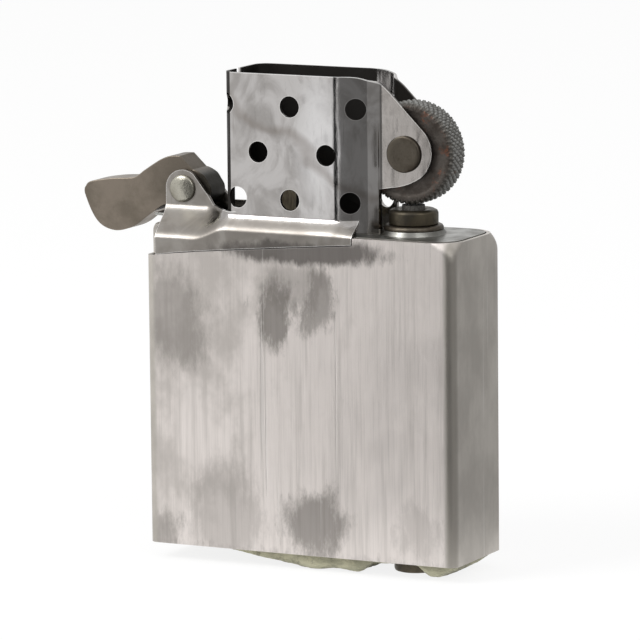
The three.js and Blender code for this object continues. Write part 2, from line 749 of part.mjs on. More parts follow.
function wick() {
  const shape = circleShape(wickRadius, 12);
  shape.holes.push(new THREE.Path(circleShape(wickWire + runningGap, 6).getPoints().reverse()));
  return alongWick(shape);
}

function wickCore() {
  return alongWick(circleShape(wickWire, 6));
}

// Packing fills the tank on both sides of the wick, between the felt and the top plate.
function packingBalls() {
  const wickRoom = wickRadius + wickSway + ballGap;
  const low = feltTop + ballGap;
  const high = plateFoot - packingDrop;
  const columns = [
    { from: -halfWidth + sheet + ballGap, to: wickX - wickRoom, count: 3 },
    { from: wickX + wickRoom, to: tubeX - tubeRadius - ballGap, count: 2 },
  ];
  return columns.flatMap(({ from, to, count }) => spaced(0, count - 1, count - 1).map((i) => {
    const height = (high - low) / count;
    const ball = new THREE.SphereGeometry(1, 14, 9);
    ball.scale((to - from) / 2, halfDepth - sheet - ballGap, (height - ballGap) / 2);
    ball.translate((from + to) / 2, 0, low + height * (i + 0.5));
    return ball;
  }));
}

function feltPart(lowX, highX) {
  const halfY = halfDepth - sheet - feltClearance;
  return roundedBlock(lowX, highX, halfY, feltCorner, -standHeight, feltTop);
}

function feltPad() {
  const endX = halfWidth - sheet - feltClearance;
  const hole = turnedAt(rod(screwHeadRadius + feltClearance, -standHeight - 1, feltTop + 1), tubeX);
  return cut(feltPart(feltSplit + feltClearance, endX), hole);
}

function feltFlap() {
  const endX = -halfWidth + sheet + feltFlapGap;
  const rampEnd = feltSplit - feltRampStart;
  const ramp = polygonXZ([[endX - 1, -standHeight - 1], [rampEnd, -standHeight - 1],
    [rampEnd, -standHeight], [endX - 1, -standHeight + feltRampRise]]);
  return cut(feltPart(endX, feltSplit), plateXZ(ramp, tankDepth));
}

// ---------------------------------------------------------------- assembly

const finishes = {
  tank: { color: 0xb7aca6, roughness: 0.42, metalness: 0.9 },
  plate: { color: 0x8f8f8a, roughness: 0.4, metalness: 0.9 },
  screen: { color: 0xb5b0ae, roughness: 0.25, metalness: 0.95 },
  camSteel: { color: 0x7f766d, roughness: 0.5, metalness: 0.85 },
  rivetSteel: { color: 0xa9a698, roughness: 0.3, metalness: 0.9 },
  wheelSteel: { color: 0x6e6e6c, roughness: 0.6, metalness: 0.8 },
  brownSteel: { color: 0x6a6057, roughness: 0.5, metalness: 0.8 },
  brass: { color: 0x7d6a45, roughness: 0.5, metalness: 0.85 },
  spring: { color: 0x8c8c88, roughness: 0.35, metalness: 0.9 },
  flint: { color: 0x4a4744, roughness: 0.8, metalness: 0.3 },
  wick: { color: 0xd8cfb4, roughness: 0.95, metalness: 0 },
  packing: { color: 0xe9e5dc, roughness: 1, metalness: 0 },
  felt: { color: 0xb9b58c, roughness: 1, metalness: 0 },
};

const lighter = new THREE.Group();
lighter.position.z = standHeight;

function place(name, geometry, finish) {
  const mesh = new THREE.Mesh(geometry, new THREE.MeshStandardMaterial(finishes[finish]));
  mesh.name = name;
  lighter.add(mesh);
}

place('tank_shell', tankShell(), 'tank');
place('top_plate', topPlate(), 'plate');
place('windscreen', chimney(), 'screen');
place('cam', cam(), 'camSteel');
place('cam_rivet', camRivet(), 'rivetSteel');
place('cam_spring', camSpring(), 'spring');
place('cam_spring_rivet', camSpringRivet(), 'rivetSteel');
place('spark_wheel', sparkWheel(), 'wheelSteel');
place('wheel_rivet', wheelRivet(), 'brownSteel');
place('flint_tube', flintTube(), 'brass');
place('flint_tube_collar', flintTubeCollar(), 'plate');
place('flint', flint(), 'flint');
place('flint_pusher', flintPusher(), 'brass');
place('flint_spring', flintSpring(), 'spring');
place('flint_screw', flintScrew(), 'brass');
place('wick', wick(), 'wick');
place('wick_core', wickCore(), 'brass');
packingBalls().forEach((ball, i) => place(`packing_ball_${i + 1}`, ball, 'packing'));
place('felt_pad', feltPad(), 'felt');
place('felt_flap', feltFlap(), 'felt');

export default lighter;
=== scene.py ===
"""Looks for the insert of a windproof petrol lighter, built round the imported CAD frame."""
import math

import bmesh
import bpy
import numpy as np
from mathutils import Matrix, Vector, noise


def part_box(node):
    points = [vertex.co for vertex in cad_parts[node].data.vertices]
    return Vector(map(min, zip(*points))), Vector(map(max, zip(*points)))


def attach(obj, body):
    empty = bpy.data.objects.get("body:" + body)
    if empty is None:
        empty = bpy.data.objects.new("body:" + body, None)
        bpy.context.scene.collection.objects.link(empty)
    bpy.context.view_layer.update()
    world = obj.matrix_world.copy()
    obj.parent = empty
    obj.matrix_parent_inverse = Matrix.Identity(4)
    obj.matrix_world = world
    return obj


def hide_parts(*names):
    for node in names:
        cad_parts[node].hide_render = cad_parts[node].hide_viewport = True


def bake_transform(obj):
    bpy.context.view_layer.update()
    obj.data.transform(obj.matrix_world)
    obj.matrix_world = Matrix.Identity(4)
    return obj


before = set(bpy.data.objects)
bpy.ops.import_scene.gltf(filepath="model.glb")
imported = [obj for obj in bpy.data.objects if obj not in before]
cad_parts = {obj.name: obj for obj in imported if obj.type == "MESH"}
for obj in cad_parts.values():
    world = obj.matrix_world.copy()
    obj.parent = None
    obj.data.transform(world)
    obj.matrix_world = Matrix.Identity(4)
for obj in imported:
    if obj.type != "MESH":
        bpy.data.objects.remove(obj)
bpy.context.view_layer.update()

MM = 0.001

# ---------------------------------------------------------------- sizes, in millimetres


def low(node):
    """Lowest corner of a CAD node."""
    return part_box(node)[0] / MM


def high(node):
    """Highest corner of a CAD node."""
    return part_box(node)[1] / MM


def middle(node):
    """Centre of a CAD node's box."""
    return (low(node) + high(node)) / 2


TANK_LOW, TANK_HIGH = low("tank_shell"), high("tank_shell")
HALF_WIDTH, HALF_DEPTH = TANK_HIGH.x, TANK_HIGH.y
SHEET = 0.4
SEAM_GAP = 0.1
CORNER_RADIUS, SHOULDER_RADIUS, SHOULDER_HEIGHT = 0.95, 3.2, 2.0

WHEEL, CAM = middle("spark_wheel"), middle("cam_rivet")
WHEEL_RADIUS = (high("spark_wheel").x - low("spark_wheel").x) / 2
WHEEL_HALF = high("spark_wheel").y
TUBE_X = middle("flint_tube").x
EAR_OUTER = 2.14
PLATE_TOP = TANK_HIGH.z + 0.08

SCREEN_LEFT, SCREEN_HALF, SCREEN_CORNER = -9.5, 4.5, 2.0
SCREEN_TOP = high("windscreen").z
BEND_START, FOLD_START, SCREEN_EDGE, BEND_END = 3.6, 7.0, 7.9, 8.2
FOLD_SHARE = 0.53
WHEEL_EAR_RADIUS, CAM_EAR_RADIUS = 3.25, 2.0
VENT_RADIUS, VENT_PITCH = 1.12, 4.9
VENT_TOP = SCREEN_TOP - 3.34
VENT_ROWS = [(-9.15, -1.37, 6.03), (-5.08, 2.82), (-7.6, -1.43, 5.39)]
BACK_VENT_SHIFT, BACK_VENT_DROP = 0.6, 0.25
MOUTH_HALF, MOUTH_TOP = 2.1, PLATE_TOP + 4.4
SLIT_HALF, SLIT_DEPTH, SLIT_Y = 0.55, 11, -0.8
SKIRT_LEFT, SKIRT_RIGHT = -17.1, 6.27
SEAM_LOW, SEAM_HIGH = TANK_HIGH.z - 2.97, TANK_HIGH.z - 0.72
EAR_FLARE = (TANK_HIGH.z - 1.32, TANK_HIGH.z + 2.08)
WALL_FLARE = (TANK_HIGH.z - 0.12, TANK_HIGH.z + 1.78)

# ---------------------------------------------------------------- mesh helpers


def steps(start, end, count):
    return [start + (end - start) * i / count for i in range(count + 1)]


def lerp(a, b, t):
    return a + (b - a) * t


def smooth_step(start, end, value):
    t = min(max((value - start) / (end - start), 0.0), 1.0)
    return t * t * (3 - 2 * t)


def placed(name, data):
    """A new object in the scene that holds a mesh, a lamp or a camera."""
    obj = bpy.data.objects.new(name, data)
    bpy.context.scene.collection.objects.link(obj)
    return obj


def piece_from(name, points, faces):
    """A new object from points in millimetres."""
    mesh = bpy.data.meshes.new(name)
    mesh.from_pydata([Vector(p) for p in points], [], faces)
    mesh.validate()
    return placed(name, mesh)


def shade_smooth(obj):
    obj.data.polygons.foreach_set("use_smooth", [True] * len(obj.data.polygons))


def apply_modifiers(obj):
    graph = bpy.context.evaluated_depsgraph_get()
    graph.update()
    mesh = bpy.data.meshes.new_from_object(obj.evaluated_get(graph))
    obj.modifiers.clear()
    obj.data = mesh


def carve(obj, tool, operation="DIFFERENCE"):
    """Boolean of obj with tool, which is used up."""
    modifier = obj.modifiers.new("carve", "BOOLEAN")
    modifier.operation = operation
    modifier.solver = "EXACT"
    modifier.object = tool
    apply_modifiers(obj)
    bpy.data.objects.remove(tool)


def face_outward(obj):
    shape = bmesh.new()
    shape.from_mesh(obj.data)
    bmesh.ops.recalc_face_normals(shape, faces=shape.faces)
    shape.to_mesh(obj.data)
    shape.free()


def soften(obj, width, angle=32, segments=2):
    """Small rounds on every edge sharper than angle, with smooth shading between."""
    bevel = obj.modifiers.new("soften", "BEVEL")
    bevel.width = width
    bevel.segments = segments
    bevel.limit_method = "ANGLE"
    bevel.angle_limit = math.radians(angle)
    bevel.harden_normals = False
    apply_modifiers(obj)
    shade_smooth(obj)
    weighted = obj.modifiers.new("weighted", "WEIGHTED_NORMAL")
    weighted.keep_sharp = True
    apply_modifiers(obj)


def ring_faces(rows, count, closed=True):
    """Quads between rows of points that are rings; closed also joins the last row to the first."""
    faces = []
    for i in range(rows if closed else rows - 1):
        for j in range(count):
            k = (j + 1) % count
            n = (i + 1) % rows
            faces.append((i * count + j, i * count + k, n * count + k, n * count + j))
    return faces


def ring_piece(name, rings, closed=True):
    points = [p for ring in rings for p in ring]
    obj = piece_from(name, points, ring_faces(len(rings), len(rings[0]), closed))
    face_outward(obj)
    return obj


def prism(name, outline, start, end, axis="Y"):
    """An outline pushed from start to end along Y (outline in X, Z) or along Z (outline in X, Y)."""
    place = (lambda u, v, w: (u, w, v)) if axis == "Y" else (lambda u, v, w: (u, v, w))
    count = len(outline)
    points = [place(u, v, start) for u, v in outline] + [place(u, v, end) for u, v in outline]
    sides = [(i, (i + 1) % count, count + (i + 1) % count, count + i) for i in range(count)]
    caps = [tuple(range(count)), tuple(range(2 * count - 1, count - 1, -1))]
    obj = piece_from(name, points, sides + caps)
    face_outward(obj)
    return obj


def turned(name, profile, centre, axis="Z", sides=72):
    """A closed profile of (radius, height) turned about Z or Y through centre."""
    rings = []
    for radius, height in profile:
        ring = []
        for j in range(sides):
            angle = 2 * math.pi * j / sides
            u, v = max(radius, 1e-4) * math.cos(angle), max(radius, 1e-4) * math.sin(angle)
            offset = (u, v, height) if axis == "Z" else (u, height, v)
            ring.append(Vector(centre) + Vector(offset))
        rings.append(ring)
    closed = profile[0][0] > 0
    obj = ring_piece(name, rings, closed)
    shape = bmesh.new()
    shape.from_mesh(obj.data)
    bmesh.ops.remove_doubles(shape, verts=shape.verts, dist=5e-4)
    bmesh.ops.holes_fill(shape, edges=shape.edges, sides=0)
    bmesh.ops.recalc_face_normals(shape, faces=shape.faces)
    shape.to_mesh(obj.data)
    shape.free()
    return obj


def settle(obj, body, *nodes):
    """Scales a finished piece to metres and lets it stand for its CAD nodes; it rides on body, if given."""
    obj.data.transform(Matrix.Scale(MM, 4))
    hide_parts(*nodes)
    if body:
        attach(obj, body)
    obj.data.materials.clear()
    obj.data.materials.append(MATERIALS[nodes[0]])


# ---------------------------------------------------------------- node graph helper


class Graph:
    """A Principled material whose patterns are worked out in millimetres of the object's own frame."""

    def __init__(self, name):
        self.material = bpy.data.materials.new(name)
        self.material.use_nodes = True
        self.tree = self.material.node_tree
        self.shader = self.tree.nodes["Principled BSDF"]
        self.position = self.add("ShaderNodeTexCoord").outputs["Object"]

    def add(self, kind, **inputs):
        node = self.tree.nodes.new(kind)
        self.feed(node, **inputs)
        return node

    def feed(self, node, **inputs):
        for key, value in inputs.items():
            socket = node.inputs[int(key[1:])] if key[0] == "i" and key[1:].isdigit() else node.inputs[key]
            if isinstance(value, bpy.types.NodeSocket):
                self.tree.links.new(value, socket)
            else:
                socket.default_value = value

    def math(self, operation, a, b=0.0):
        node = self.add("ShaderNodeMath", i0=a, i1=b)
        node.operation = operation
        return node.outputs[0]

    def times(self, a, b):
        return self.math("MULTIPLY", a, b)

    def plus(self, a, b):
        return self.math("ADD", a, b)

    def tint(self, color, mask, weight, target):
        """color moved towards target by weight where mask is 1."""
        return self.mix(self.times(mask, weight), color, target)

    def stretched(self, scale):
        """The position in millimetres times scale on each axis."""
        node = self.add("ShaderNodeVectorMath", i0=self.position, i1=[s / MM for s in scale])
        node.operation = "MULTIPLY"
        return node.outputs[0]

    def noise(self, scale, detail=4.0, rough=0.55, distortion=0.0, offset=0.0):
        vector = self.add("ShaderNodeVectorMath", i0=self.stretched(scale), i1=[offset] * 3)
        vector.operation = "ADD"
        node = self.add("ShaderNodeTexNoise", Vector=vector.outputs[0], Scale=1.0, Detail=detail,
                        Roughness=rough, Distortion=distortion)
        return node.outputs["Fac"]

    def band(self, value, start, end, to_low=0.0, to_high=1.0):
        """value mapped from start..end to to_low..to_high, clamped and eased."""
        node = self.tree.nodes.new("ShaderNodeMapRange")
        node.interpolation_type = "SMOOTHSTEP"
        self.feed(node, i0=value, i1=start, i2=end, i3=to_low, i4=to_high)
        return node.outputs[0]

    def mix(self, factor, first, second):
        node = self.tree.nodes.new("ShaderNodeMix")
        node.data_type = "RGBA"
        self.feed(node, i0=factor, i6=first, i7=second)
        return node.outputs[2]

    def axis(self, index):
        """One coordinate of the position, in millimetres."""
        node = self.add("ShaderNodeSeparateXYZ", i0=self.position)
        return self.times(node.outputs[index], 1 / MM)

    def near(self, centre, radius, squash=(1, 1, 1), warp=0.0):
        """1 at centre, falling to 0 at radius; squash stretches the distance, warp makes it ragged."""
        place = self.stretched((1, 1, 1))
        if warp:
            drawn_out = self.stretched((1, 1, 0.4))
            ragged = self.add("ShaderNodeTexNoise", Vector=drawn_out, Scale=0.42, Detail=8.0, Roughness=0.72)
            shift = self.add("ShaderNodeVectorMath", i0=ragged.outputs["Color"], i1=[-0.5] * 3)
            grown = self.add("ShaderNodeVectorMath", i0=shift.outputs[0])
            grown.operation = "SCALE"
            grown.inputs["Scale"].default_value = warp
            moved = self.add("ShaderNodeVectorMath", i0=place, i1=grown.outputs[0])
            place = moved.outputs[0]
        scaled = self.add("ShaderNodeVectorMath", i0=place, i1=list(squash))
        scaled.operation = "MULTIPLY"
        target = [c * s for c, s in zip(centre, squash)]
        node = self.add("ShaderNodeVectorMath", i0=scaled.outputs[0], i1=target)
        node.operation = "DISTANCE"
        return self.band(node.outputs["Value"], radius, radius * 0.15)

    def near_line(self, x, y, radius):
        """1 on the upright line through x, y, falling to 0 at radius."""
        flat = self.add("ShaderNodeVectorMath", i0=self.stretched((1, 1, 0)), i1=[x, y, 0])
        flat.operation = "DISTANCE"
        return self.band(flat.outputs["Value"], radius, radius * 0.3)

    def edges(self, radius):
        """1 on edges sharper than a round of that radius, 0 on flat faces."""
        bevel = self.add("ShaderNodeBevel", Radius=radius * MM)
        bevel.samples = 6
        true_normal = self.add("ShaderNodeNewGeometry").outputs["Normal"]
        dot = self.add("ShaderNodeVectorMath", i0=bevel.outputs[0], i1=true_normal)
        dot.operation = "DOT_PRODUCT"
        return self.band(dot.outputs["Value"], 0.995, 0.9)

    def bump(self, height, distance, strength=1.0):
        """Bump of that height in millimetres, added to any bump already there."""
        node = self.add("ShaderNodeBump", Height=height, Strength=strength, Distance=distance * MM)
        normal = self.shader.inputs["Normal"]
        if normal.is_linked:
            self.tree.links.new(normal.links[0].from_socket, node.inputs["Normal"])
        self.tree.links.new(node.outputs[0], normal)

    def surface(self, color, roughness, **constants):
        self.feed(self.shader, **{"Base Color": color, "Roughness": roughness}, **constants)
        return self.material


def rgb(red, green, blue):
    return (red, green, blue, 1.0)


# ---------------------------------------------------------------- materials


def scratches(graph, along=(5.0, 5.0, 0.12), seed=0.0):
    """Fine parallel scratches, with a few long deep ones."""
    fine = graph.noise(along, detail=6, rough=0.7, offset=seed)
    long_ones = graph.noise((along[0] * 0.45, along[1] * 0.45, along[2] * 0.3), detail=2, offset=seed + 31)
    deep = graph.band(long_ones, 0.66, 0.72)
    return fine, deep


def tank_material():
    graph = Graph("tank_steel")
    clean, warm, grime = rgb(0.78, 0.725, 0.69), rgb(0.49, 0.456, 0.427), rgb(0.19, 0.174, 0.158)
    fine, deep = scratches(graph, along=(4.0, 4.0, 0.10))
    cloud = graph.noise((0.16, 0.16, 0.10), detail=5, rough=0.6, offset=4)
    height, across = graph.axis(2), graph.axis(0)
    worn = graph.math("SUBTRACT", graph.band(across, -HALF_WIDTH, 10), graph.band(height, 2, 36, -0.1, 0.45))
    dulled = graph.math("SUBTRACT", graph.band(cloud, 0.3, 0.75), graph.times(worn, 0.8))
    color = graph.mix(graph.band(dulled, 0.1, 0.9, 0, 0.8), clean, warm)
    for stretch, weight in (((1.1, 1.1, 0.05), 0.45), ((3.2, 3.2, 0.07), 0.3), ((8.0, 8.0, 0.15), 0.22)):
        streak = graph.noise(stretch, detail=4, rough=0.6, offset=9)
        color = graph.mix(graph.band(streak, 0.48, 0.72, 0, weight), color, warm)
    ragged = graph.noise((1.6, 1.6, 0.5), detail=8, rough=0.72, offset=2)
    front, foot = -HALF_DEPTH, TANK_LOW.z
    smudges = [
        ((-2.6, front, foot + 25.2), 4.2, (1.15, 0.4, 0.75), 0.75),
        ((2.3, front, foot + 27.0), 4.0, (1.15, 0.4, 0.75), 0.6),
        ((-0.5, front, foot + 28.5), 4.2, (0.7, 0.4, 1.0), 0.4),
        ((1.7, front, foot + 3.4), 5.8, (0.95, 0.4, 0.95), 0.7),
        ((-8.8, front, foot + 4.0), 6.5, (0.9, 0.4, 0.7), 0.35),
        ((-14.5, front, foot + 24.5), 6.0, (1.0, 0.4, 0.7), 0.5),
        ((-16.5, front, foot + 1.0), 4.0, (1.0, 0.4, 1.0), 0.5),
        ((14.0, front, foot + 3.5), 4.5, (1.0, 0.4, 1.0), 0.25),
    ]
    for centre, radius, squash, weight in smudges:
        spot = graph.near(centre, radius, squash, warp=8.0)
        grain = graph.times(ragged, 0.8)
        patch = graph.band(graph.plus(spot, grain), 0.5, 1.25, 0, weight)
        color = graph.mix(patch, color, grime)
    middle_band = graph.near((0.5, front, TANK_HIGH.z - 1.6), 16.0, (1.0, 0.2, 6.5), warp=2.0)
    soot = graph.band(graph.plus(middle_band, graph.times(ragged, 0.9)), 0.62, 1.2, 0, 0.85)
    color = graph.mix(soot, color, rgb(0.11, 0.1, 0.092))
    foot_band = graph.band(height, foot + 1.6, foot)
    low_soot = graph.plus(graph.times(foot_band, 0.35), ragged)
    color = graph.mix(graph.band(low_soot, 0.72, 1.1, 0, 0.4), color, grime)
    # painted shade: both end faces and their rounded corners are darkened to a mottled grey, standing in for
    # the duller reflection they get from the side
    side = graph.band(graph.math("ABSOLUTE", across), HALF_WIDTH - 1.3, HALF_WIDTH - 0.75)
    side_shade_mottle = graph.mix(graph.band(cloud, 0.35, 0.65), rgb(0.52, 0.49, 0.445), rgb(0.41, 0.385, 0.35))
    color = graph.tint(color, side, 0.9, side_shade_mottle)
    # painted shade: a dark band down the front right corner, standing in for the corner's dark reflection
    corner = graph.near_line(HALF_WIDTH - 0.55, -HALF_DEPTH + 0.3, 1.0)
    color = graph.tint(color, corner, 0.6, rgb(0.26, 0.242, 0.215))
    color = graph.tint(color, deep, 0.35, rgb(0.72, 0.69, 0.665))
    color = graph.tint(color, graph.edges(0.12), 0.4, rgb(0.75, 0.72, 0.69))
    rough = graph.plus(graph.band(cloud, 0.3, 0.7, 0.3, 0.42), graph.times(fine, 0.12))
    rough = graph.plus(rough, graph.times(soot, 0.15))
    graph.bump(fine, 0.012)
    graph.bump(graph.noise((0.5, 0.5, 0.4), detail=3, offset=17), 0.02)
    graph.bump(graph.times(deep, -1.0), 0.012)
    return graph.surface(color, rough, Metallic=1.0)


def plate_material():
    graph = Graph("plate_steel")
    cloud = graph.noise((0.5, 0.5, 0.5), detail=5)
    fine, _ = scratches(graph, along=(3.0, 0.4, 3.0), seed=3)
    color = graph.mix(graph.band(cloud, 0.38, 0.65), rgb(0.27, 0.268, 0.25), rgb(0.18, 0.175, 0.16))
    crevice = graph.near((TUBE_X - 3.5, 0, PLATE_TOP), 4.5)
    color = graph.tint(color, crevice, 0.55, rgb(0.07, 0.06, 0.045))
    seat = graph.near((TUBE_X, 0, PLATE_TOP), 4.0)
    color = graph.tint(color, seat, 0.6, rgb(0.12, 0.115, 0.1))
    color = graph.tint(color, graph.edges(0.15), 0.3, rgb(0.5, 0.49, 0.46))
    graph.bump(fine, 0.008)
    graph.bump(cloud, 0.02)
    return graph.surface(color, graph.band(cloud, 0.3, 0.7, 0.3, 0.45), Metallic=1.0)


def screen_material():
    graph = Graph("screen_steel")
    polished, dull, soot = rgb(0.46, 0.445, 0.435), rgb(0.30, 0.285, 0.272), rgb(0.018, 0.016, 0.014)
    cloud = graph.noise((0.3, 0.3, 0.22), detail=4, distortion=0.8, offset=5)
    fine, deep = scratches(graph, along=(3.5, 3.5, 0.3), seed=8)
    color = graph.mix(graph.band(cloud, 0.4, 0.66, 0, 0.85), polished, dull)
    # painted reflection: a brighter patch across the upper middle of the chimney's front
    bright = graph.near((2.2, -SCREEN_HALF, SCREEN_TOP - 7), 9, (2.2, 0.3, 0.8), warp=2.0)
    color = graph.tint(color, bright, 0.75, rgb(0.66, 0.65, 0.65))
    drift = graph.noise((0.16, 0.16, 0.16), detail=2, rough=0.4, offset=37)
    run = graph.plus(graph.times(graph.axis(0), 0.72), graph.axis(2))
    line = graph.plus(run, graph.times(drift, 9.0))
    offset = graph.math("ABSOLUTE", graph.math("SUBTRACT", line, SCREEN_TOP - 3.5))
    tide = graph.band(offset, 1.3, 0.0)
    color = graph.tint(color, tide, 0.5, rgb(0.19, 0.165, 0.145))
    height = graph.axis(2)
    folded = graph.band(height, PLATE_TOP + 0.9, PLATE_TOP - 0.3)
    color = graph.tint(color, folded, 0.6, rgb(0.27, 0.25, 0.23))
    ragged = graph.noise((0.9, 0.9, 0.9), detail=8, rough=0.7, offset=13)
    low_band = graph.band(height, PLATE_TOP + 2.0, PLATE_TOP - 0.6)
    low_ragged = graph.plus(graph.times(low_band, 0.45), ragged)
    foot_soot = graph.band(low_ragged, 0.78, 1.1, 0, 0.55)
    color = graph.mix(foot_soot, color, rgb(0.12, 0.105, 0.09))
    skirt_zone = graph.band(graph.math("ABSOLUTE", graph.axis(1)), SCREEN_HALF + 0.02, SCREEN_HALF + 0.5)
    ears = graph.math("MAXIMUM", graph.band(graph.axis(0), -10.4, -12.0), skirt_zone)
    worn = graph.mix(graph.band(cloud, 0.4, 0.65), rgb(0.32, 0.3, 0.275), rgb(0.25, 0.23, 0.208))
    color = graph.tint(color, ears, 0.9, worn)
    seam = graph.near((-1.5, -HALF_DEPTH, TANK_HIGH.z - 2.1), 13.0, (1.0, 0.3, 6.5), warp=2.5)
    seam_soot = graph.plus(seam, graph.times(ragged, 0.9))
    color = graph.mix(graph.band(seam_soot, 0.6, 1.2, 0, 0.85), color, rgb(0.11, 0.1, 0.092))
    wheel_ear = graph.band(graph.axis(0), BEND_END - 0.5, BEND_END + 0.3)
    color = graph.tint(color, wheel_ear, 0.75, rgb(0.33, 0.305, 0.285))
    color = graph.tint(color, deep, 0.3, rgb(0.24, 0.22, 0.2))
    # painted highlight: the screen's edges and vent rims are lightened towards near-white
    color = graph.tint(color, graph.edges(0.14), 0.8, rgb(0.86, 0.84, 0.82))
    side = graph.math("ABSOLUTE", graph.axis(1))
    across = graph.axis(0)
    within = graph.band(side, SCREEN_HALF - 0.22, SCREEN_HALF - 0.3)
    bend = graph.band(across, BEND_START, BEND_END)
    wall = graph.math("SUBTRACT", SCREEN_HALF, graph.times(bend, SCREEN_HALF - EAR_OUTER))
    inside = graph.math("LESS_THAN", side, graph.math("SUBTRACT", wall, SHEET * 0.6))
    boxed = graph.times(inside, graph.math("GREATER_THAN", across, SCREEN_LEFT + SHEET * 0.6))
    above = graph.math("GREATER_THAN", height, PLATE_TOP + 0.9)
    sooty = graph.times(boxed, above)
    color = graph.tint(color, sooty, 0.96, soot)
    rough = graph.band(cloud, 0.35, 0.7, 0.07, 0.17)
    rough = graph.plus(rough, graph.times(ears, 0.24))
    rough = graph.plus(rough, graph.times(sooty, 0.45))
    graph.bump(fine, 0.006)
    graph.bump(graph.noise((0.45, 0.45, 0.18), detail=2, offset=3), 0.05)
    graph.feed(graph.shader, Metallic=1.0)
    return graph.surface(color, rough)


def worn_steel(name, clean, stain, rough, spots=0.5, seed=0.0, scratch=(1.5, 3.0, 1.5)):
    """Oxidised steel: stain gathers in patches, edges stay bright."""
    graph = Graph(name)
    cloud = graph.noise((0.35, 0.35, 0.35), detail=6, rough=0.62, offset=seed)
    fine = graph.noise(scratch, detail=6, rough=0.7, offset=seed + 5)
    pits = graph.noise((4, 4, 4), detail=3, offset=seed + 11)
    color = graph.mix(graph.band(cloud, 0.4, 0.66), rgb(*clean), rgb(*stain))
    dark = tuple(c * 0.35 for c in stain)
    color = graph.mix(graph.band(pits, 0.62, 0.75, 0, spots), color, rgb(*dark))
    bright = tuple(min(c * 1.5, 0.9) for c in clean)
    color = graph.tint(color, graph.edges(0.18), 0.55, rgb(*bright))
    graph.bump(fine, 0.012)
    graph.bump(pits, 0.02)
    roughness = graph.band(cloud, 0.35, 0.7, rough - 0.07, rough + 0.1)
    return graph.surface(color, roughness, Metallic=1.0)


def cam_material():
    """Brown worn steel, darker round the rivet, with a painted dark reflection, almost black, on the heel.
    """
    graph = Graph("cam_steel")
    cloud = graph.noise((0.3, 0.3, 0.3), detail=6, rough=0.62, offset=23)
    grain = graph.noise((3, 6, 3), detail=6, rough=0.7, offset=28)
    color = graph.mix(graph.band(cloud, 0.38, 0.68), rgb(0.235, 0.2, 0.163), rgb(0.175, 0.15, 0.12))
    hub = graph.near((CAM.x, 0, CAM.z + 1.0), 6.5, (1, 0.2, 1), warp=1.5)
    color = graph.tint(color, hub, 0.6, rgb(0.09, 0.078, 0.062))
    # painted reflection: the heel is tinted almost black, standing in for the dark surroundings its end face
    # reflects
    heel = graph.band(graph.axis(0), CAM.x + 0.9, CAM.x + 2.2)
    color = graph.tint(color, heel, 0.92, rgb(0.025, 0.024, 0.02))
    color = graph.mix(graph.band(grain, 0.62, 0.74, 0, 0.35), color, rgb(0.08, 0.065, 0.05))
    color = graph.tint(color, graph.edges(0.2), 0.35, rgb(0.36, 0.32, 0.27))
    graph.bump(grain, 0.014)
    graph.bump(cloud, 0.03)
    rough = graph.band(cloud, 0.35, 0.7, 0.36, 0.5)
    return graph.surface(color, rough, Metallic=1.0)


def wheel_material():
    graph = Graph("wheel_steel")
    radial = graph.add("ShaderNodeVectorMath", i0=graph.stretched((1, 0, 1)), i1=[WHEEL.x, 0, WHEEL.z])
    radial.operation = "DISTANCE"
    radius = radial.outputs["Value"]
    cloud = graph.noise((0.5, 0.5, 0.5), detail=6, rough=0.65, offset=2)
    grain = graph.noise((3, 3, 3), detail=5, rough=0.7, offset=6)
    face = graph.mix(graph.band(cloud, 0.4, 0.66), rgb(0.10, 0.088, 0.078), rgb(0.055, 0.045, 0.038))
    rust = graph.noise((0.42, 0.42, 0.42), detail=7, rough=0.7, offset=40)
    face = graph.mix(graph.band(rust, 0.53, 0.66, 0, 0.85), face, rgb(0.26, 0.085, 0.04))
    tread = graph.mix(graph.band(grain, 0.4, 0.7), rgb(0.30, 0.30, 0.288), rgb(0.13, 0.126, 0.115))
    tread = graph.mix(graph.band(rust, 0.58, 0.7, 0, 0.6), tread, rgb(0.19, 0.12, 0.075))
    groove = graph.band(radius, WHEEL_RADIUS - 0.04, WHEEL_RADIUS - 0.24)
    tread = graph.mix(graph.times(groove, 0.75), tread, rgb(0.07, 0.06, 0.05))
    outside = graph.band(radius, WHEEL_RADIUS - 0.5, WHEEL_RADIUS - 0.34)
    color = graph.mix(outside, face, tread)
    graph.bump(grain, 0.05)
    graph.bump(cloud, 0.05)
    return graph.surface(color, graph.band(grain, 0.3, 0.7, 0.38, 0.62), Metallic=0.85)


def brass_material():
    graph = Graph("tarnished_brass")
    cloud = graph.noise((0.6, 0.6, 0.6), detail=6, rough=0.6, offset=14)
    fine = graph.noise((3, 3, 0.8), detail=5, rough=0.7)
    color = graph.mix(graph.band(cloud, 0.38, 0.68), rgb(0.095, 0.08, 0.055), rgb(0.05, 0.044, 0.035))
    color = graph.tint(color, graph.edges(0.2), 0.4, rgb(0.2, 0.17, 0.11))
    graph.bump(fine, 0.012)
    return graph.surface(color, graph.band(cloud, 0.3, 0.7, 0.34, 0.52), Metallic=0.9)


def flint_material():
    graph = Graph("flint_alloy")
    grain = graph.noise((5, 5, 5), detail=5, rough=0.7)
    color = graph.mix(graph.band(grain, 0.4, 0.65), rgb(0.14, 0.135, 0.125), rgb(0.05, 0.045, 0.04))
    graph.bump(grain, 0.06)
    return graph.surface(color, 0.75, Metallic=0.4)


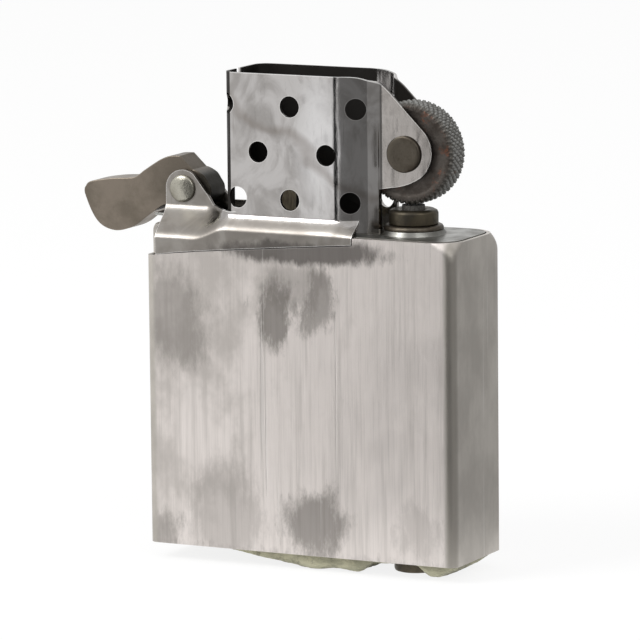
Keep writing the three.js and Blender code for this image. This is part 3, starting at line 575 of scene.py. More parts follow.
def wick_material():
    graph = Graph("wick_cotton")
    top = high("wick").z
    strands = graph.noise((6, 6, 1.2), detail=4)
    color = graph.mix(graph.band(strands, 0.35, 0.65), rgb(0.66, 0.58, 0.42), rgb(0.45, 0.37, 0.25))
    ragged = graph.plus(graph.axis(2), graph.times(strands, 2.5))
    char = graph.band(ragged, top - 4.2, top - 0.5)
    color = graph.mix(char, color, rgb(0.012, 0.01, 0.009))
    graph.bump(strands, 0.08)
    return graph.surface(color, 0.95, **{"Sheen Weight": 0.2})


def copper_material():
    graph = Graph("copper_wire")
    cloud = graph.noise((2, 2, 2), detail=4)
    color = graph.mix(cloud, rgb(0.45, 0.2, 0.1), rgb(0.16, 0.08, 0.05))
    return graph.surface(color, 0.45, Metallic=1.0)


def cotton_material():
    graph = Graph("packing_cotton")
    fibre = graph.noise((3, 3, 3), detail=7, rough=0.75, distortion=1.5)
    color = graph.mix(graph.band(fibre, 0.35, 0.65), rgb(0.78, 0.75, 0.68), rgb(0.6, 0.56, 0.47))
    graph.bump(fibre, 0.25)
    return graph.surface(color, 1.0, **{"Sheen Weight": 0.3})


def felt_material():
    graph = Graph("felt")
    fibre = graph.noise((4.5, 4.5, 4.5), detail=8, rough=0.78, distortion=2.0)
    cloud = graph.noise((0.35, 0.6, 0.6), detail=5, rough=0.6, offset=7)
    color = graph.mix(graph.band(cloud, 0.38, 0.62), rgb(0.62, 0.60, 0.42), rgb(0.40, 0.39, 0.27))
    stain = graph.noise((0.8, 0.8, 0.8), detail=6, rough=0.7, offset=19)
    color = graph.mix(graph.band(stain, 0.5, 0.68, 0, 0.75), color, rgb(0.17, 0.155, 0.10))
    color = graph.mix(graph.band(fibre, 0.56, 0.72, 0, 0.5), color, rgb(0.78, 0.76, 0.6))
    graph.bump(fibre, 0.16)
    return graph.surface(color, 1.0, **{"Sheen Weight": 0.35, "Sheen Roughness": 0.5})


STEEL_RIVET = worn_steel("rivet_steel", (0.40, 0.385, 0.33), (0.22, 0.205, 0.165), 0.3, spots=0.3, seed=4)
SPRING_STEEL = worn_steel("spring_steel", (0.42, 0.42, 0.40), (0.22, 0.21, 0.19), 0.36, seed=9)
AGED_STEEL = worn_steel("aged_steel", (0.115, 0.1, 0.08), (0.065, 0.053, 0.04), 0.42, spots=0.6, seed=15)
CAM_STEEL = cam_material()
BRASS, COTTON, FELT = brass_material(), cotton_material(), felt_material()

MATERIALS = {
    "tank_shell": tank_material(),
    "top_plate": plate_material(),
    "windscreen": screen_material(),
    "cam": CAM_STEEL,
    "cam_rivet": STEEL_RIVET,
    "cam_spring": SPRING_STEEL,
    "cam_spring_rivet": STEEL_RIVET,
    "spark_wheel": wheel_material(),
    "wheel_rivet": AGED_STEEL,
    "flint_tube": BRASS,
    "flint_tube_collar": AGED_STEEL,
    "flint": flint_material(),
    "flint_pusher": BRASS,
    "flint_spring": SPRING_STEEL,
    "flint_screw": BRASS,
    "wick": wick_material(),
    "wick_core": copper_material(),
    "felt_pad": FELT,
    "felt_flap": FELT,
    **{name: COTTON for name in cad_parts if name.startswith("packing_ball")},
}

# ---------------------------------------------------------------- tank


def tank_corner(z):
    """Radius of the tank's upright corners at height z."""
    t = min(max((z - TANK_HIGH.z + SHOULDER_HEIGHT) / SHOULDER_HEIGHT, 0), 1)
    return CORNER_RADIUS + (SHOULDER_RADIUS - CORNER_RADIUS) * t * t


def tank_ring(z, inset, per_corner=14):
    radius = max(tank_corner(z) - inset, SHEET / 2)
    half_x, half_y = HALF_WIDTH - inset, HALF_DEPTH - inset
    ring = []
    for sign_x, sign_y, start in ((1, -1, -90), (1, 1, 0), (-1, 1, 90), (-1, -1, 180)):
        for degrees in steps(start, start + 90, per_corner):
            angle = math.radians(degrees)
            x = sign_x * (half_x - radius) + radius * math.cos(angle)
            y = sign_y * (half_y - radius) + radius * math.sin(angle)
            ring.append((x, y, z))
    return ring


def seam_height(x):
    t = max(x - SKIRT_LEFT, 0) / (SKIRT_RIGHT - SKIRT_LEFT)
    return lerp(SEAM_LOW, SEAM_HIGH, t ** 0.85)


def make_tank():
    heights = [TANK_LOW.z, *steps(TANK_HIGH.z - SHOULDER_HEIGHT, TANK_HIGH.z, 12)]
    outer = [tank_ring(z, 0) for z in heights]
    inner = [tank_ring(z, SHEET) for z in reversed(heights)]
    tank = ring_piece("tank", outer + inner)
    left, right = -HALF_WIDTH - 1, SKIRT_RIGHT + SEAM_GAP
    seam = [(x, seam_height(x) - SEAM_GAP) for x in [left, *steps(SKIRT_LEFT, right, 24)]]
    pocket = seam + [(right, TANK_HIGH.z + 2), (left, TANK_HIGH.z + 2)]
    pocket_depth = 1.9
    for side in (-1, 1):
        tool = prism("pocket", pocket, side * HALF_DEPTH - pocket_depth,
                     side * HALF_DEPTH + pocket_depth)
        carve(tank, tool)
    soften(tank, 0.07, angle=40)
    settle(tank, "insert", "tank_shell")


# ---------------------------------------------------------------- windscreen


def wall_offset(x):
    """Outer face of the front wall at x, as a distance from the middle."""
    bend, fold = smooth_step(BEND_START, BEND_END, x), smooth_step(FOLD_START, BEND_END, x)
    return lerp(SCREEN_HALF, EAR_OUTER, lerp(bend, fold, FOLD_SHARE))


def wall_slant(x):
    """How much further apart the sheet's faces are across the tank where the wall runs at a slant."""
    step = 0.05
    return math.hypot(1, (wall_offset(x + step) - wall_offset(x - step)) / (2 * step))


def screen_path(inset):
    """Half of the screen's plan, from its closed end to the tip of an ear."""
    radius = SCREEN_CORNER - inset
    centre_x, centre_y = SCREEN_LEFT + SCREEN_CORNER, SCREEN_HALF - SCREEN_CORNER
    corner = []
    for degrees in steps(180, 270, 14):
        angle = math.radians(degrees)
        corner.append((centre_x + radius * math.cos(angle), radius * math.sin(angle) - centre_y))
    stations = steps(BEND_START, FOLD_START, 20) + steps(FOLD_START, BEND_END, 20)[1:]
    bend = [(x, inset * wall_slant(x) - wall_offset(x)) for x in stations]
    return corner + bend + [(WHEEL.x + 2 * WHEEL_EAR_RADIUS, inset - EAR_OUTER)]


def screen_side():
    """Side view of the screen with its rim, slanting shoulder and round wheel ear."""
    ear_x, ear_z = WHEEL.x - 0.12, WHEEL.z + 0.2
    reach = WHEEL_EAR_RADIUS
    slope = ear_x + ear_z + 2 * reach * math.sqrt(0.5)
    shoulder = 1.6
    corner_x = slope - SCREEN_TOP
    under_ear = ear_z - reach - 0.75
    outline = [(SCREEN_LEFT - 1, PLATE_TOP - 1), (SCREEN_EDGE, PLATE_TOP - 1), (SCREEN_EDGE, under_ear)]
    below = [(ear_x - 1.2, under_ear + 0.25), (ear_x + 0.3, under_ear + 0.4),
             (ear_x + reach * 0.5, ear_z - reach * 0.866)]
    outline += curve_points(*below, 8)
    outline += [(ear_x + reach * math.cos(math.radians(d)), ear_z + reach * math.sin(math.radians(d)))
                for d in steps(-60, 45, 22)[1:]]
    rim = [(corner_x + shoulder, SCREEN_TOP - shoulder), (corner_x, SCREEN_TOP),
           (corner_x - 1.4 * shoulder, SCREEN_TOP)]
    outline += curve_points(*rim, 12)
    outline.append((SCREEN_LEFT - 1, SCREEN_TOP))
    return prism("screen_side", outline, -HALF_DEPTH, HALF_DEPTH)


def curve_points(start, control, end, count):
    """Points on a quadratic curve, both ends included."""
    points = []
    for t in steps(0, 1, count):
        weights = ((1 - t) ** 2, 2 * t * (1 - t), t * t)
        points.append(tuple(sum(w * p[k] for w, p in zip(weights, (start, control, end))) for k in (0, 1)))
    return points


def skirt_section(x):
    """Plane of the upper part of a skirt at x, and the foot and top of its flare."""
    blend = smooth_step(SCREEN_LEFT - 3, SCREEN_LEFT + 1, x)
    plane = wall_offset(x) if x > BEND_START else SCREEN_HALF
    return (lerp(EAR_OUTER, plane, blend), lerp(EAR_FLARE[0], WALL_FLARE[0], blend),
            lerp(EAR_FLARE[1], WALL_FLARE[1], blend))


def skirt_top(x):
    lowest = skirt_section(x)[2] + 0.1
    if x > SCREEN_LEFT:
        return lowest
    dx = x - CAM.x
    arch = CAM.z + math.sqrt(max(CAM_EAR_RADIUS ** 2 - dx ** 2, 0))
    slope = CAM.z + 1.48 - (dx - 1.35) * 1.25
    return arch if dx < 1.35 else max(slope, lowest)


def skirt(side):
    """One flared skirt with its cam ear, as a closed sheet."""
    left = CAM.x - CAM_EAR_RADIUS
    arch = [CAM.x - CAM_EAR_RADIUS * math.cos(math.radians(d)) for d in steps(0, 90, 12)]
    columns = arch + steps(CAM.x + 0.15, SCREEN_LEFT, 34) + steps(SCREEN_LEFT + 0.5, SKIRT_RIGHT, 30)

    def grid(inset):
        rows = []
        for x in columns:
            plane, foot, top = skirt_section(x)
            for z in [seam_height(x), *steps(foot, top, 14), skirt_top(x)]:
                out = lerp(HALF_DEPTH, plane, smooth_step(foot, top, z))
                tuck = 0.5 * smooth_step(top, foot, z) * smooth_step(CAM.x + CAM_EAR_RADIUS, left, x)
                rows.append((x + tuck, side * (out - inset), z))
        return rows

    outer, inner = grid(0), grid(SHEET)
    high_count = 17
    last = len(columns) - 1
    inner_start = len(outer)

    def quad(i, j, shift):
        a = shift + i * high_count + j
        return (a, a + 1, a + high_count + 1, a + high_count)

    faces = [quad(i, j, 0) for i in range(last) for j in range(high_count - 1)]
    faces += [quad(i, j, inner_start)[::-1] for i in range(last) for j in range(high_count - 1)]
    for i in range(last):
        for j in (0, high_count - 1):
            a, b = i * high_count + j, (i + 1) * high_count + j
            faces.append((a, b, inner_start + b, inner_start + a))
    for i in (0, last):
        for j in range(high_count - 1):
            a = i * high_count + j
            faces.append((a, a + 1, inner_start + a + 1, inner_start + a))
    obj = piece_from("skirt", outer + inner, faces)
    face_outward(obj)
    return obj


def vent_cutter(station, z, side):
    """A round cutter square to the sheet at that distance along the wall."""
    corner_x = SCREEN_LEFT + SCREEN_CORNER
    turn = max(corner_x - station, 0) / SCREEN_CORNER
    if turn > 0:
        x = corner_x - SCREEN_CORNER * math.sin(turn)
        y = SCREEN_HALF - SCREEN_CORNER + SCREEN_CORNER * math.cos(turn)
        lean = -turn
    else:
        x, y = station, wall_offset(station)
        lean = math.atan2(wall_offset(x - 0.05) - wall_offset(x + 0.05), 0.1)
    normal = Vector((math.sin(lean), side * math.cos(lean), 0))
    across = Vector((math.cos(lean), -side * math.sin(lean), 0))
    centre = Vector((x, side * y, z))
    reach, sides = 1.2, 40
    rings = []
    for along in (-reach, reach):
        ring = []
        for j in range(sides):
            angle = 2 * math.pi * j / sides
            ring.append(centre + normal * along + across * (VENT_RADIUS * math.cos(angle))
                        + Vector((0, 0, VENT_RADIUS * math.sin(angle))))
        rings.append(ring)
    points = rings[0] + rings[1]
    faces = ring_faces(2, sides, closed=False)
    faces += [tuple(range(sides)), tuple(range(2 * sides - 1, sides - 1, -1))]
    return points, faces


def vent_cutters():
    points, faces = [], []
    for row, stations in enumerate(VENT_ROWS):
        for station in stations:
            for side in (-1, 1):
                back = max(side, 0)
                height = VENT_TOP - row * VENT_PITCH - back * BACK_VENT_DROP
                more, more_faces = vent_cutter(station + back * BACK_VENT_SHIFT, height, side)
                shift = len(points)
                points += more
                faces += [tuple(i + shift for i in face) for face in more_faces]
    obj = piece_from("vents", points, faces)
    face_outward(obj)
    return obj


def box_tool(lowest, highest):
    (left, front, foot), (right, back, top) = lowest, highest
    return prism("box", [(left, foot), (right, foot), (right, top), (left, top)], front, back)


def bar_tool(centre, radius, half_length):
    profile = [(0, -half_length), (radius, -half_length), (radius, half_length), (0, half_length)]
    return turned("bar", profile, (centre.x, 0, centre.z), axis="Y", sides=48)


def make_screen():
    front, front_inner = screen_path(0), screen_path(SHEET)[::-1]
    mirrored = [(x, -y) for x, y in reversed(front)]
    mirrored_inner = [(x, -y) for x, y in reversed(front_inner)]
    plan = mirrored + front + front_inner + mirrored_inner
    screen = prism("windscreen_sheet", plan, PLATE_TOP + 0.02, SCREEN_TOP, axis="Z")
    carve(screen, screen_side(), "INTERSECT")
    for side in (-1, 1):
        carve(screen, skirt(side), "UNION")
    carve(screen, vent_cutters())
    carve(screen, box_tool((SCREEN_LEFT - 1, SLIT_Y - SLIT_HALF, SCREEN_TOP - SLIT_DEPTH),
                           (SCREEN_LEFT + SHEET + 1, SLIT_Y + SLIT_HALF, SCREEN_TOP + 1)))
    carve(screen, box_tool((SCREEN_LEFT - 1, -MOUTH_HALF, PLATE_TOP - 1),
                           (SCREEN_LEFT + SHEET + 0.05, MOUTH_HALF, MOUTH_TOP)))
    wheel_pin_hole, cam_pin_hole = 1.12, 0.92
    carve(screen, bar_tool(WHEEL, wheel_pin_hole, HALF_DEPTH))
    carve(screen, bar_tool(CAM, cam_pin_hole, HALF_DEPTH))
    soften(screen, 0.1, angle=42)
    settle(screen, "insert", "windscreen")


# ---------------------------------------------------------------- cam, rivets and wheel


def spline(points, per_span=10):
    """Catmull-Rom curve through points, without the last one."""
    padded = [points[0], *points, points[-1]]
    curve = []
    for i in range(1, len(padded) - 2):
        a, b, c, d = (np.array(p, float) for p in padded[i - 1:i + 3])
        for t in np.linspace(0, 1, per_span, endpoint=False):
            square, cube = 2 * a - 5 * b + 4 * c - d, 3 * b - a - 3 * c + d
            value = 2 * b + (c - a) * t + square * t * t + cube * t ** 3
            curve.append(tuple(value / 2))
    return curve


def make_cam():
    top, notch = (-0.54, 3.39), (0.93, 2.01)
    heel = [notch, (1.45, 1.87), (2.22, 1.44), (2.67, 0.83), (3.1, 0.04), (2.98, -1.07), (2.4, -1.75)]
    hub = 2.75
    arc = [(hub * math.cos(a), hub * math.sin(a)) for a in steps(-0.235 * math.pi, -0.72 * math.pi, 16)]
    under = [(-2.6, -1.95), (-4.57, -3.26), (-5.89, -4.24), (-7.19, -4.8), (-8.5, -5.01), (-9.79, -4.7),
             (-10.71, -4.01), (-11.43, -2.9), (-12.05, -1.44), (-12.18, -0.9), (-12.05, -0.45),
             (-11.38, 0.14), (-8.95, 0.58), (-7.09, 0.72), (-5.94, 0.9), (-4.95, 1.6), (-3.57, 2.5),
             (-2.7, 2.99), (-1.71, 3.33), top]
    outline = [top] + spline(heel) + arc + spline([arc[-1], *under])[1:]
    half = high("cam").y
    cam = prism("cam_lever", [(x + CAM.x, z + CAM.z) for x, z in outline], -half, half)
    carve(cam, bar_tool(CAM, 0.95, HALF_DEPTH))
    soften(cam, 0.22, angle=50, segments=3)
    settle(cam, "cam", "cam")


def make_rivet(name, body_node, shank, head, crown):
    """A rivet across a pair of ears, with the same crown outside each."""
    seat = EAR_OUTER + 0.02
    half = [(shank, seat), (head, seat), *[(r, seat + h) for r, h in crown]]
    profile = [(r, -h) for r, h in reversed(half)] + half
    rivet = turned(name, profile, middle(body_node), axis="Y")
    soften(rivet, 0.05, angle=35)
    settle(rivet, "insert", body_node)


def make_rivets():
    rise = high("wheel_rivet").y - EAR_OUTER - 0.02
    flat = [(1.92, rise * 0.55), (1.86, rise * 0.85), (1.68, rise), (1.2, rise * 0.93), (0, rise * 0.88)]
    make_rivet("wheel_rivet_head", "wheel_rivet", 1.1, 1.92, flat)
    rise = high("cam_rivet").y - EAR_OUTER - 0.02
    dome = [(1.45 * math.cos(math.radians(d)), rise * (0.3 + 0.7 * math.sin(math.radians(d))))
            for d in steps(0, 90, 8)]
    dome[-1] = (0, rise)
    make_rivet("cam_rivet_head", "cam_rivet", 0.9, 1.45, dome)


def make_wheel():
    """Knurled wheel: two sets of crossing helical grooves round its tread."""
    around, teeth, depth = 432, 54, 0.24
    chamfer = 0.4
    bore = 1.15
    tread = steps(-WHEEL_HALF, WHEEL_HALF, 26)
    rings = []

    def ring(radius_at, y):
        return [(WHEEL.x + radius_at(a) * math.cos(a), y, WHEEL.z + radius_at(a) * math.sin(a))
                for a in (2 * math.pi * j / around for j in range(around))]

    def wave(phase):
        return abs((phase % 1.0) * 2 - 1)

    def tread_radius(y):
        edge = max(abs(y) - (WHEEL_HALF - chamfer), 0)

        def at(angle):
            turn = angle * teeth / (2 * math.pi)
            lean = y * 1.05
            crest = min(wave(turn + lean), wave(turn - lean))
            bite = noise.noise(Vector((math.cos(angle) * 6, y * 2, math.sin(angle) * 6)))
            worn = 0.05 * max(bite, 0)
            return WHEEL_RADIUS - edge * 0.75 - worn - depth * (1 - min(crest * 1.8, 1))
        return at

    def face(sign):
        levels = [(bore, -0.02), (2.3, -0.02), (2.5, -0.12), (4.2, -0.12), (4.5, -0.03),
                  (WHEEL_RADIUS - 0.75, 0)]
        return [ring(lambda a, r=r: r, sign * (WHEEL_HALF + drop)) for r, drop in levels]

    rings += face(-1)
    rings += [ring(tread_radius(y), y) for y in tread]
    rings += face(1)[::-1]
    wheel = ring_piece("knurled_wheel", rings)
    soften(wheel, 0.02, angle=75, segments=1)
    settle(wheel, "spark_wheel", "spark_wheel")


# ---------------------------------------------------------------- flint tube, screw and small parts


def make_tube():
    tube_low, tube_high = low("flint_tube").z, high("flint_tube").z
    collar_low, collar_high = low("flint_tube_collar").z, high("flint_tube_collar").z
    bore, wall, boss = 1.27, 1.82, 2.61
    foot = collar_high + 0.02
    profile = [(bore, tube_low), (wall, tube_low), (wall, foot), (boss - 0.08, foot), (boss, foot + 0.12),
               (boss, tube_high - 0.42), (boss - 0.12, tube_high - 0.16), (boss - 0.45, tube_high),
               (bore + 0.25, tube_high - 0.04), (bore, tube_high - 0.2)]
    tube = turned("flint_tube_body", profile, (TUBE_X, 0, 0))
    soften(tube, 0.06, angle=40)
    settle(tube, "insert", "flint_tube")
    rim = 3.15
    ring = [(wall + 0.02, collar_low), (rim, collar_low), (rim, collar_low + 0.22),
            (rim - 0.12, collar_high - 0.08), (rim - 0.3, collar_high), (wall + 0.02, collar_high)]
    collar = turned("flint_tube_ring", ring, (TUBE_X, 0, 0))
    soften(collar, 0.05, angle=40)
    settle(collar, "insert", "flint_tube_collar")


def make_screw():
    """Slotted screw with a true helical thread on its shank."""
    foot, top = low("flint_screw").z, high("flint_screw").z
    head, head_top = 2.3, foot + 1.4
    crest, depth, pitch = 1.2, 0.16, 0.5
    profile = [(0, foot), (head - 0.35, foot), (head - 0.1, foot + 0.08), (head, foot + 0.3),
               (head, head_top - 0.15), (head - 0.15, head_top), (crest - depth, head_top)]
    shank = turned("screw", [*profile, (crest - depth, top - 0.1), (crest - depth - 0.2, top), (0, top)],
                   (TUBE_X, 0, 0))
    slot_half, slot_depth = 0.3, 0.6
    slot = box_tool((TUBE_X - head - 1, -slot_half, foot - 1),
                    (TUBE_X + head + 1, slot_half, foot + slot_depth))
    carve(shank, slot)
    turns = (top - head_top - 0.8) / pitch
    section = [(crest - depth - 0.05, -0.2), (crest, -0.05), (crest, 0.05), (crest - depth - 0.05, 0.2)]
    rings = []
    per_turn = 40
    count = int(turns * per_turn)
    for i in range(count + 1):
        angle = 2 * math.pi * turns * i / count
        z = head_top + 0.35 + pitch * turns * i / count
        rings.append([(TUBE_X + r * math.cos(angle), r * math.sin(angle), z + dz) for r, dz in section])
    faces = ring_faces(len(rings), 4, closed=False)
    faces += [(0, 1, 2, 3), tuple(range(4 * count + 3, 4 * count - 1, -1))]
    thread = piece_from("thread", [p for ring in rings for p in ring], faces)
    face_outward(thread)
    carve(shank, thread, "UNION")
    soften(shank, 0.05, angle=40)
    settle(shank, "flint_screw", "flint_screw")


def refine(node, body, width):
    """A CAD node's own shape with welded faces and softened edges."""
    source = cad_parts[node].data.copy()
    obj = placed(node + "_finished", source)
    source.transform(Matrix.Scale(1 / MM, 4))
    shape = bmesh.new()
    shape.from_mesh(source)
    bmesh.ops.remove_doubles(shape, verts=shape.verts, dist=1e-3)
    bmesh.ops.dissolve_limit(shape, angle_limit=math.radians(1.0), verts=shape.verts, edges=shape.edges)
    shape.to_mesh(source)
    shape.free()
    soften(obj, width, angle=35)
    settle(obj, body, node)


def make_small_parts():
    refine("top_plate", "insert", 0.06)
    refine("cam_spring", "insert", 0.04)
    refine("cam_spring_rivet", "insert", 0.04)
    refine("flint", "flint_stack", 0.06)
    refine("flint_pusher", "flint_stack", 0.05)
    refine("wick_core", "insert", 0.02)


def make_flint_spring():
    """Round-wire coil spring, in the space of its CAD node."""
    lowest, highest = low("flint_spring"), high("flint_spring")
    wire = 0.17
    coil = (highest.x - lowest.x) / 2 - wire
    turns, per_turn, sides = 16, 28, 10
    count = turns * per_turn
    rings = []
    rise = highest.z - lowest.z - 2 * wire
    for i in range(count + 1):
        angle = 2 * math.pi * i / per_turn
        z = lowest.z + wire + rise * i / count
        out = Vector((math.cos(angle), math.sin(angle), 0))
        centre = Vector((TUBE_X, 0, z)) + out * coil
        rings.append([centre + out * (wire * math.cos(a)) + Vector((0, 0, wire * math.sin(a)))
                      for a in (2 * math.pi * k / sides for k in range(sides))])
    faces = ring_faces(len(rings), sides, closed=False)
    faces += [tuple(range(sides)), tuple(range(len(rings) * sides - 1, (len(rings) - 1) * sides - 1, -1))]
    spring = piece_from("flint_spring_coil", [p for ring in rings for p in ring], faces)
    face_outward(spring)
    soften(spring, 0.01, angle=85, segments=1)
    settle(spring, "spring_carrier", "flint_spring")


# ---------------------------------------------------------------- wick, packing and felt


def make_wick():
    """Braided wick along the CAD wick's gentle wave, frayed and burnt at its top."""
    lowest, highest = low("wick"), high("wick")
    radius, sway, wick_x = 1.42, 0.45, -4.5
    around, length_steps = 48, 260
    rings = []
    for i in range(length_steps + 1):
        t = i / length_steps
        z = lerp(lowest.z + 0.1, highest.z - 0.1, t)
        in_tank = 1 - smooth_step(PLATE_TOP - 8, PLATE_TOP - 2, z)
        centre_x = wick_x + sway * in_tank * math.sin((z - TANK_LOW.z) / 2.6)
        fray = smooth_step(highest.z - 1.6, highest.z, z)
        ring = []
        for j in range(around):
            angle = 2 * math.pi * j / around
            strand = max(math.sin(angle * 6 + z * 2.4), math.sin(angle * 6 - z * 2.4))
            ragged = noise.noise(Vector((math.cos(angle) * 3, math.sin(angle) * 3, z * 1.5)))
            r = radius - 0.1 + 0.07 * strand + 0.08 * fray * ragged
            ring.append((centre_x + r * math.cos(angle), r * math.sin(angle), z + 0.1 * fray * ragged))
        rings.append(ring)
    wick = ring_piece("braided_wick", rings, closed=False)
    shape = bmesh.new()
    shape.from_mesh(wick.data)
    bmesh.ops.holes_fill(shape, edges=shape.edges, sides=0)
    bmesh.ops.recalc_face_normals(shape, faces=shape.faces)
    shape.to_mesh(wick.data)
    shape.free()
    shade_smooth(wick)
    settle(wick, "insert", "wick")


def make_packing():
    """Cotton lumps: wrinkled inside the outline of their CAD solids."""
    for node in sorted(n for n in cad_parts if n.startswith("packing_ball")):
        centre, half = middle(node), (high(node) - low(node)) / 2
        shape = bmesh.new()
        bmesh.ops.create_icosphere(shape, subdivisions=5, radius=1)
        for vertex in shape.verts:
            spot = vertex.co * 2.2 + centre
            wrinkle = noise.fractal(spot, 1.0, 2.0, 5)
            vertex.co = vertex.co * (0.93 - 0.06 * abs(wrinkle))
            vertex.co = Vector((vertex.co.x * half.x, vertex.co.y * half.y, vertex.co.z * half.z)) + centre
        mesh = bpy.data.meshes.new(node + "_cotton")
        shape.to_mesh(mesh)
        shape.free()
        obj = placed(node + "_cotton", mesh)
        shade_smooth(obj)
        settle(obj, "insert", node)


def make_felt():
    """One felt pad that bulges unevenly out of the tank's foot, with a hole for the screw."""
    pad_high, flap_low = high("felt_pad"), low("felt_flap")
    foot, top = flap_low.z, pad_high.z
    half_y = pad_high.y
    left, right = flap_low.x, pad_high.x
    block = box_tool((left, -half_y, foot), (right, half_y, top))
    corner = block.modifiers.new("corner", "BEVEL")
    corner.width = 0.55
    corner.segments = 3
    apply_modifiers(block)
    wide = 2.6
    bore = [(0, foot - 1), (wide, foot - 1), (wide, top + 1), (0, top + 1)]
    hole = turned("hole", bore, (TUBE_X, 0, 0))
    carve(block, hole)
    remesh = block.modifiers.new("remesh", "REMESH")
    remesh.mode = "VOXEL"
    remesh.voxel_size = 0.22
    apply_modifiers(block)
    edge = TANK_LOW.z
    points = np.empty(len(block.data.vertices) * 3)
    block.data.vertices.foreach_get("co", points)
    points = points.reshape(-1, 3)
    for i, (x, y, z) in enumerate(points):
        spot = Vector((x, y, z))
        if z < edge:
            level = felt_underside(x, y)
            depth = (edge - z) / (edge - foot)
            z = lerp(edge, level, depth)
            y *= 1 - 0.05 * depth * (1 + noise.noise(spot * 0.4))
        fuzz = 0.07 * noise.fractal(spot * 2.1, 1.0, 2.0, 4)
        keep = min(max((z - foot - 0.02) / 0.2, 0), 1)
        points[i] = (x + fuzz * 0.6, y + fuzz * 0.6 * math.copysign(1, y), z + fuzz * keep)
    points[:, 0] = np.clip(points[:, 0], left - 0.1, right + 0.1)
    points[:, 1] = np.clip(points[:, 1], -half_y - 0.12, half_y + 0.12)
    points[:, 2] = np.clip(points[:, 2], foot, top + 0.1)
    block.data.vertices.foreach_set("co", points.ravel())
    shade_smooth(block)
    block.name = "felt_body"
    settle(block, None, "felt_pad", "felt_flap")
    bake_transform(block)


def felt_underside(x, y):
    """Height of the felt's worn underside: tucked up at the left, proud in the middle and right."""
    foot = low("felt_flap").z
    tuck = 1.35 * (1 - smooth_step(-11, 0.5, x))
    swell = 0.28 * (1 + noise.noise(Vector((x * 0.33, y * 0.3, 4.0))))
    dip = 1.15 * smooth_step(6.2, 8.2, x) * (1 - smooth_step(12.8, 14.6, x))
    end = 0.9 * smooth_step(15.2, 17.2, x)
    return min(foot + tuck + swell + dip + end, TANK_LOW.z)


# ---------------------------------------------------------------- studio


def reflector(name, start, end, grey):
    """A grey sweep between two bearings, seen only in reflections: along the floor, then up."""
    near, far, height, above_floor = 0.03, 0.6, 0.5, 0.0005
    rings = []
    for distance, level in ((near, above_floor), (far, above_floor), (far, height)):
        ring = []
        for degrees in steps(start, end, 16):
            angle = math.radians(degrees)
            ring.append((distance * math.cos(angle), distance * math.sin(angle), level))
        rings.append(ring)
    width = len(rings[0])
    faces = [(i * width + j, i * width + j + 1, (i + 1) * width + j + 1, (i + 1) * width + j)
             for i in range(2) for j in range(width - 1)]
    mesh = bpy.data.meshes.new(name)
    mesh.from_pydata([point for ring in rings for point in ring], [], faces)
    card = placed(name, mesh)
    material = bpy.data.materials.new(name)
    material.use_nodes = True
    tree = material.node_tree
    tree.nodes.clear()
    glow = tree.nodes.new("ShaderNodeEmission")
    glow.inputs["Color"].default_value = rgb(grey, grey, grey)
    output = tree.nodes.new("ShaderNodeOutputMaterial")
    tree.links.new(glow.outputs[0], output.inputs[0])
    mesh.materials.append(material)
    for ray in ("camera", "diffuse", "transmission", "shadow"):
        setattr(card, "visible_" + ray, False)


def backdrop_share(tree, camera_share):
    """Factor that is camera_share for camera rays, 1 for glossy and transmission rays, else 0."""
    path = tree.nodes.new("ShaderNodeLightPath")
    seen = tree.nodes.new("ShaderNodeMath")
    seen.operation = "MULTIPLY"
    seen.inputs[1].default_value = camera_share
    tree.links.new(path.outputs["Is Camera Ray"], seen.inputs[0])
    total = seen.outputs[0]
    for ray in ("Is Glossy Ray", "Is Transmission Ray"):
        add = tree.nodes.new("ShaderNodeMath")
        add.operation = "ADD"
        add.use_clamp = True
        tree.links.new(total, add.inputs[0])
        tree.links.new(path.outputs[ray], add.inputs[1])
        total = add.outputs[0]
    return total


def make_floor():
    size = 3.0
    mesh = bpy.data.meshes.new("floor")
    corners = [(-size, -size, 0), (size, -size, 0), (size, size, 0), (-size, size, 0)]
    mesh.from_pydata(corners, [], [(0, 1, 2, 3)])
    floor = placed("floor", mesh)
    material = bpy.data.materials.new("floor")
    material.use_nodes = True
    tree = material.node_tree
    paint = tree.nodes["Principled BSDF"]
    paint.inputs["Base Color"].default_value = rgb(0.88, 0.88, 0.88)
    paint.inputs["Roughness"].default_value = 0.9
    glow = tree.nodes.new("ShaderNodeEmission")
    glow.inputs["Strength"].default_value = 1.06
    mix = tree.nodes.new("ShaderNodeMixShader")
    tree.links.new(backdrop_share(tree, 0.8), mix.inputs[0])
    tree.links.new(paint.outputs[0], mix.inputs[1])
    tree.links.new(glow.outputs[0], mix.inputs[2])
    tree.links.new(mix.outputs[0], tree.nodes["Material Output"].inputs[0])
    mesh.materials.append(material)


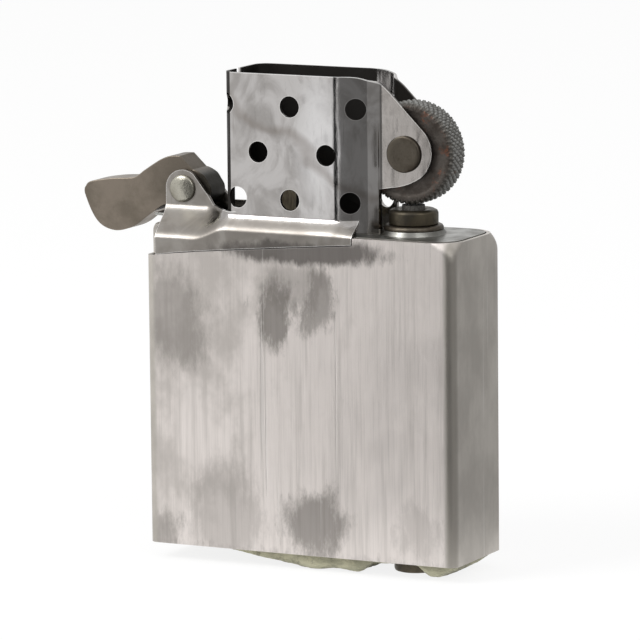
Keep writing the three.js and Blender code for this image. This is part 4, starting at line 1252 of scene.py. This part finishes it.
def make_world():
    world = bpy.data.worlds.new("studio")
    bpy.context.scene.world = world
    world.use_nodes = True
    tree = world.node_tree
    background = tree.nodes["Background"]
    background.inputs["Color"].default_value = rgb(1, 1, 1)
    strength = tree.nodes.new("ShaderNodeMapRange")
    strength.inputs["To Min"].default_value = 0.55
    strength.inputs["To Max"].default_value = 1.0
    tree.links.new(backdrop_share(tree, 1.0), strength.inputs["Value"])
    tree.links.new(strength.outputs[0], background.inputs["Strength"])


def soft_light(name, position, size, power):
    lamp = bpy.data.lights.new(name, "AREA")
    lamp.shape = "SQUARE"
    lamp.size = size
    lamp.energy = power
    obj = placed(name, lamp)
    obj.location = position
    obj.rotation_euler = Vector(position).to_track_quat("Z", "Y").to_euler()


def make_camera():
    yaw, pitch, roll = math.radians(26.716), math.radians(9.144), math.radians(-0.591)
    distance, shift_side, shift_up = 607.95, 0.265, 0.851
    back = Vector((math.sin(yaw) * math.cos(pitch), -math.cos(yaw) * math.cos(pitch), math.sin(pitch)))
    right = Vector((math.cos(yaw), math.sin(yaw), 0))
    up = back.cross(right)
    side = right * math.cos(roll) + up * math.sin(roll)
    top = up * math.cos(roll) - right * math.sin(roll)
    target = Vector((0, 0, TANK_LOW.z + 25))
    place = target + back * distance - side * shift_side - top * shift_up
    data = bpy.data.cameras.new("camera")
    data.lens = 325.13
    data.sensor_width = 36
    data.clip_start = 0.01
    camera = placed("camera", data)
    matrix = Matrix((side, top, back)).transposed().to_4x4()
    matrix.translation = place * MM
    camera.matrix_world = matrix
    bpy.context.scene.camera = camera


def make_studio():
    make_floor()
    make_world()
    soft_light("key", (-0.35, -0.45, 0.55), 0.35, 3.0)
    soft_light("fill", (0.5, -0.35, 0.35), 0.4, 1.2)
    reflector("dark_band", -111, -99, 0.012)
    reflector("brown_band", -95, -30, 0.24)
    reflector("corner_band", -30, 35, 0.42)
    reflector("side_grey", 35, 95, 0.55)
    bpy.context.scene.view_settings.view_transform = "Standard"


make_camera()
make_studio()
make_tank()
make_screen()
make_cam()
make_rivets()
make_wheel()
make_tube()
make_screw()
make_small_parts()
make_flint_spring()
make_wick()
make_packing()
make_felt()
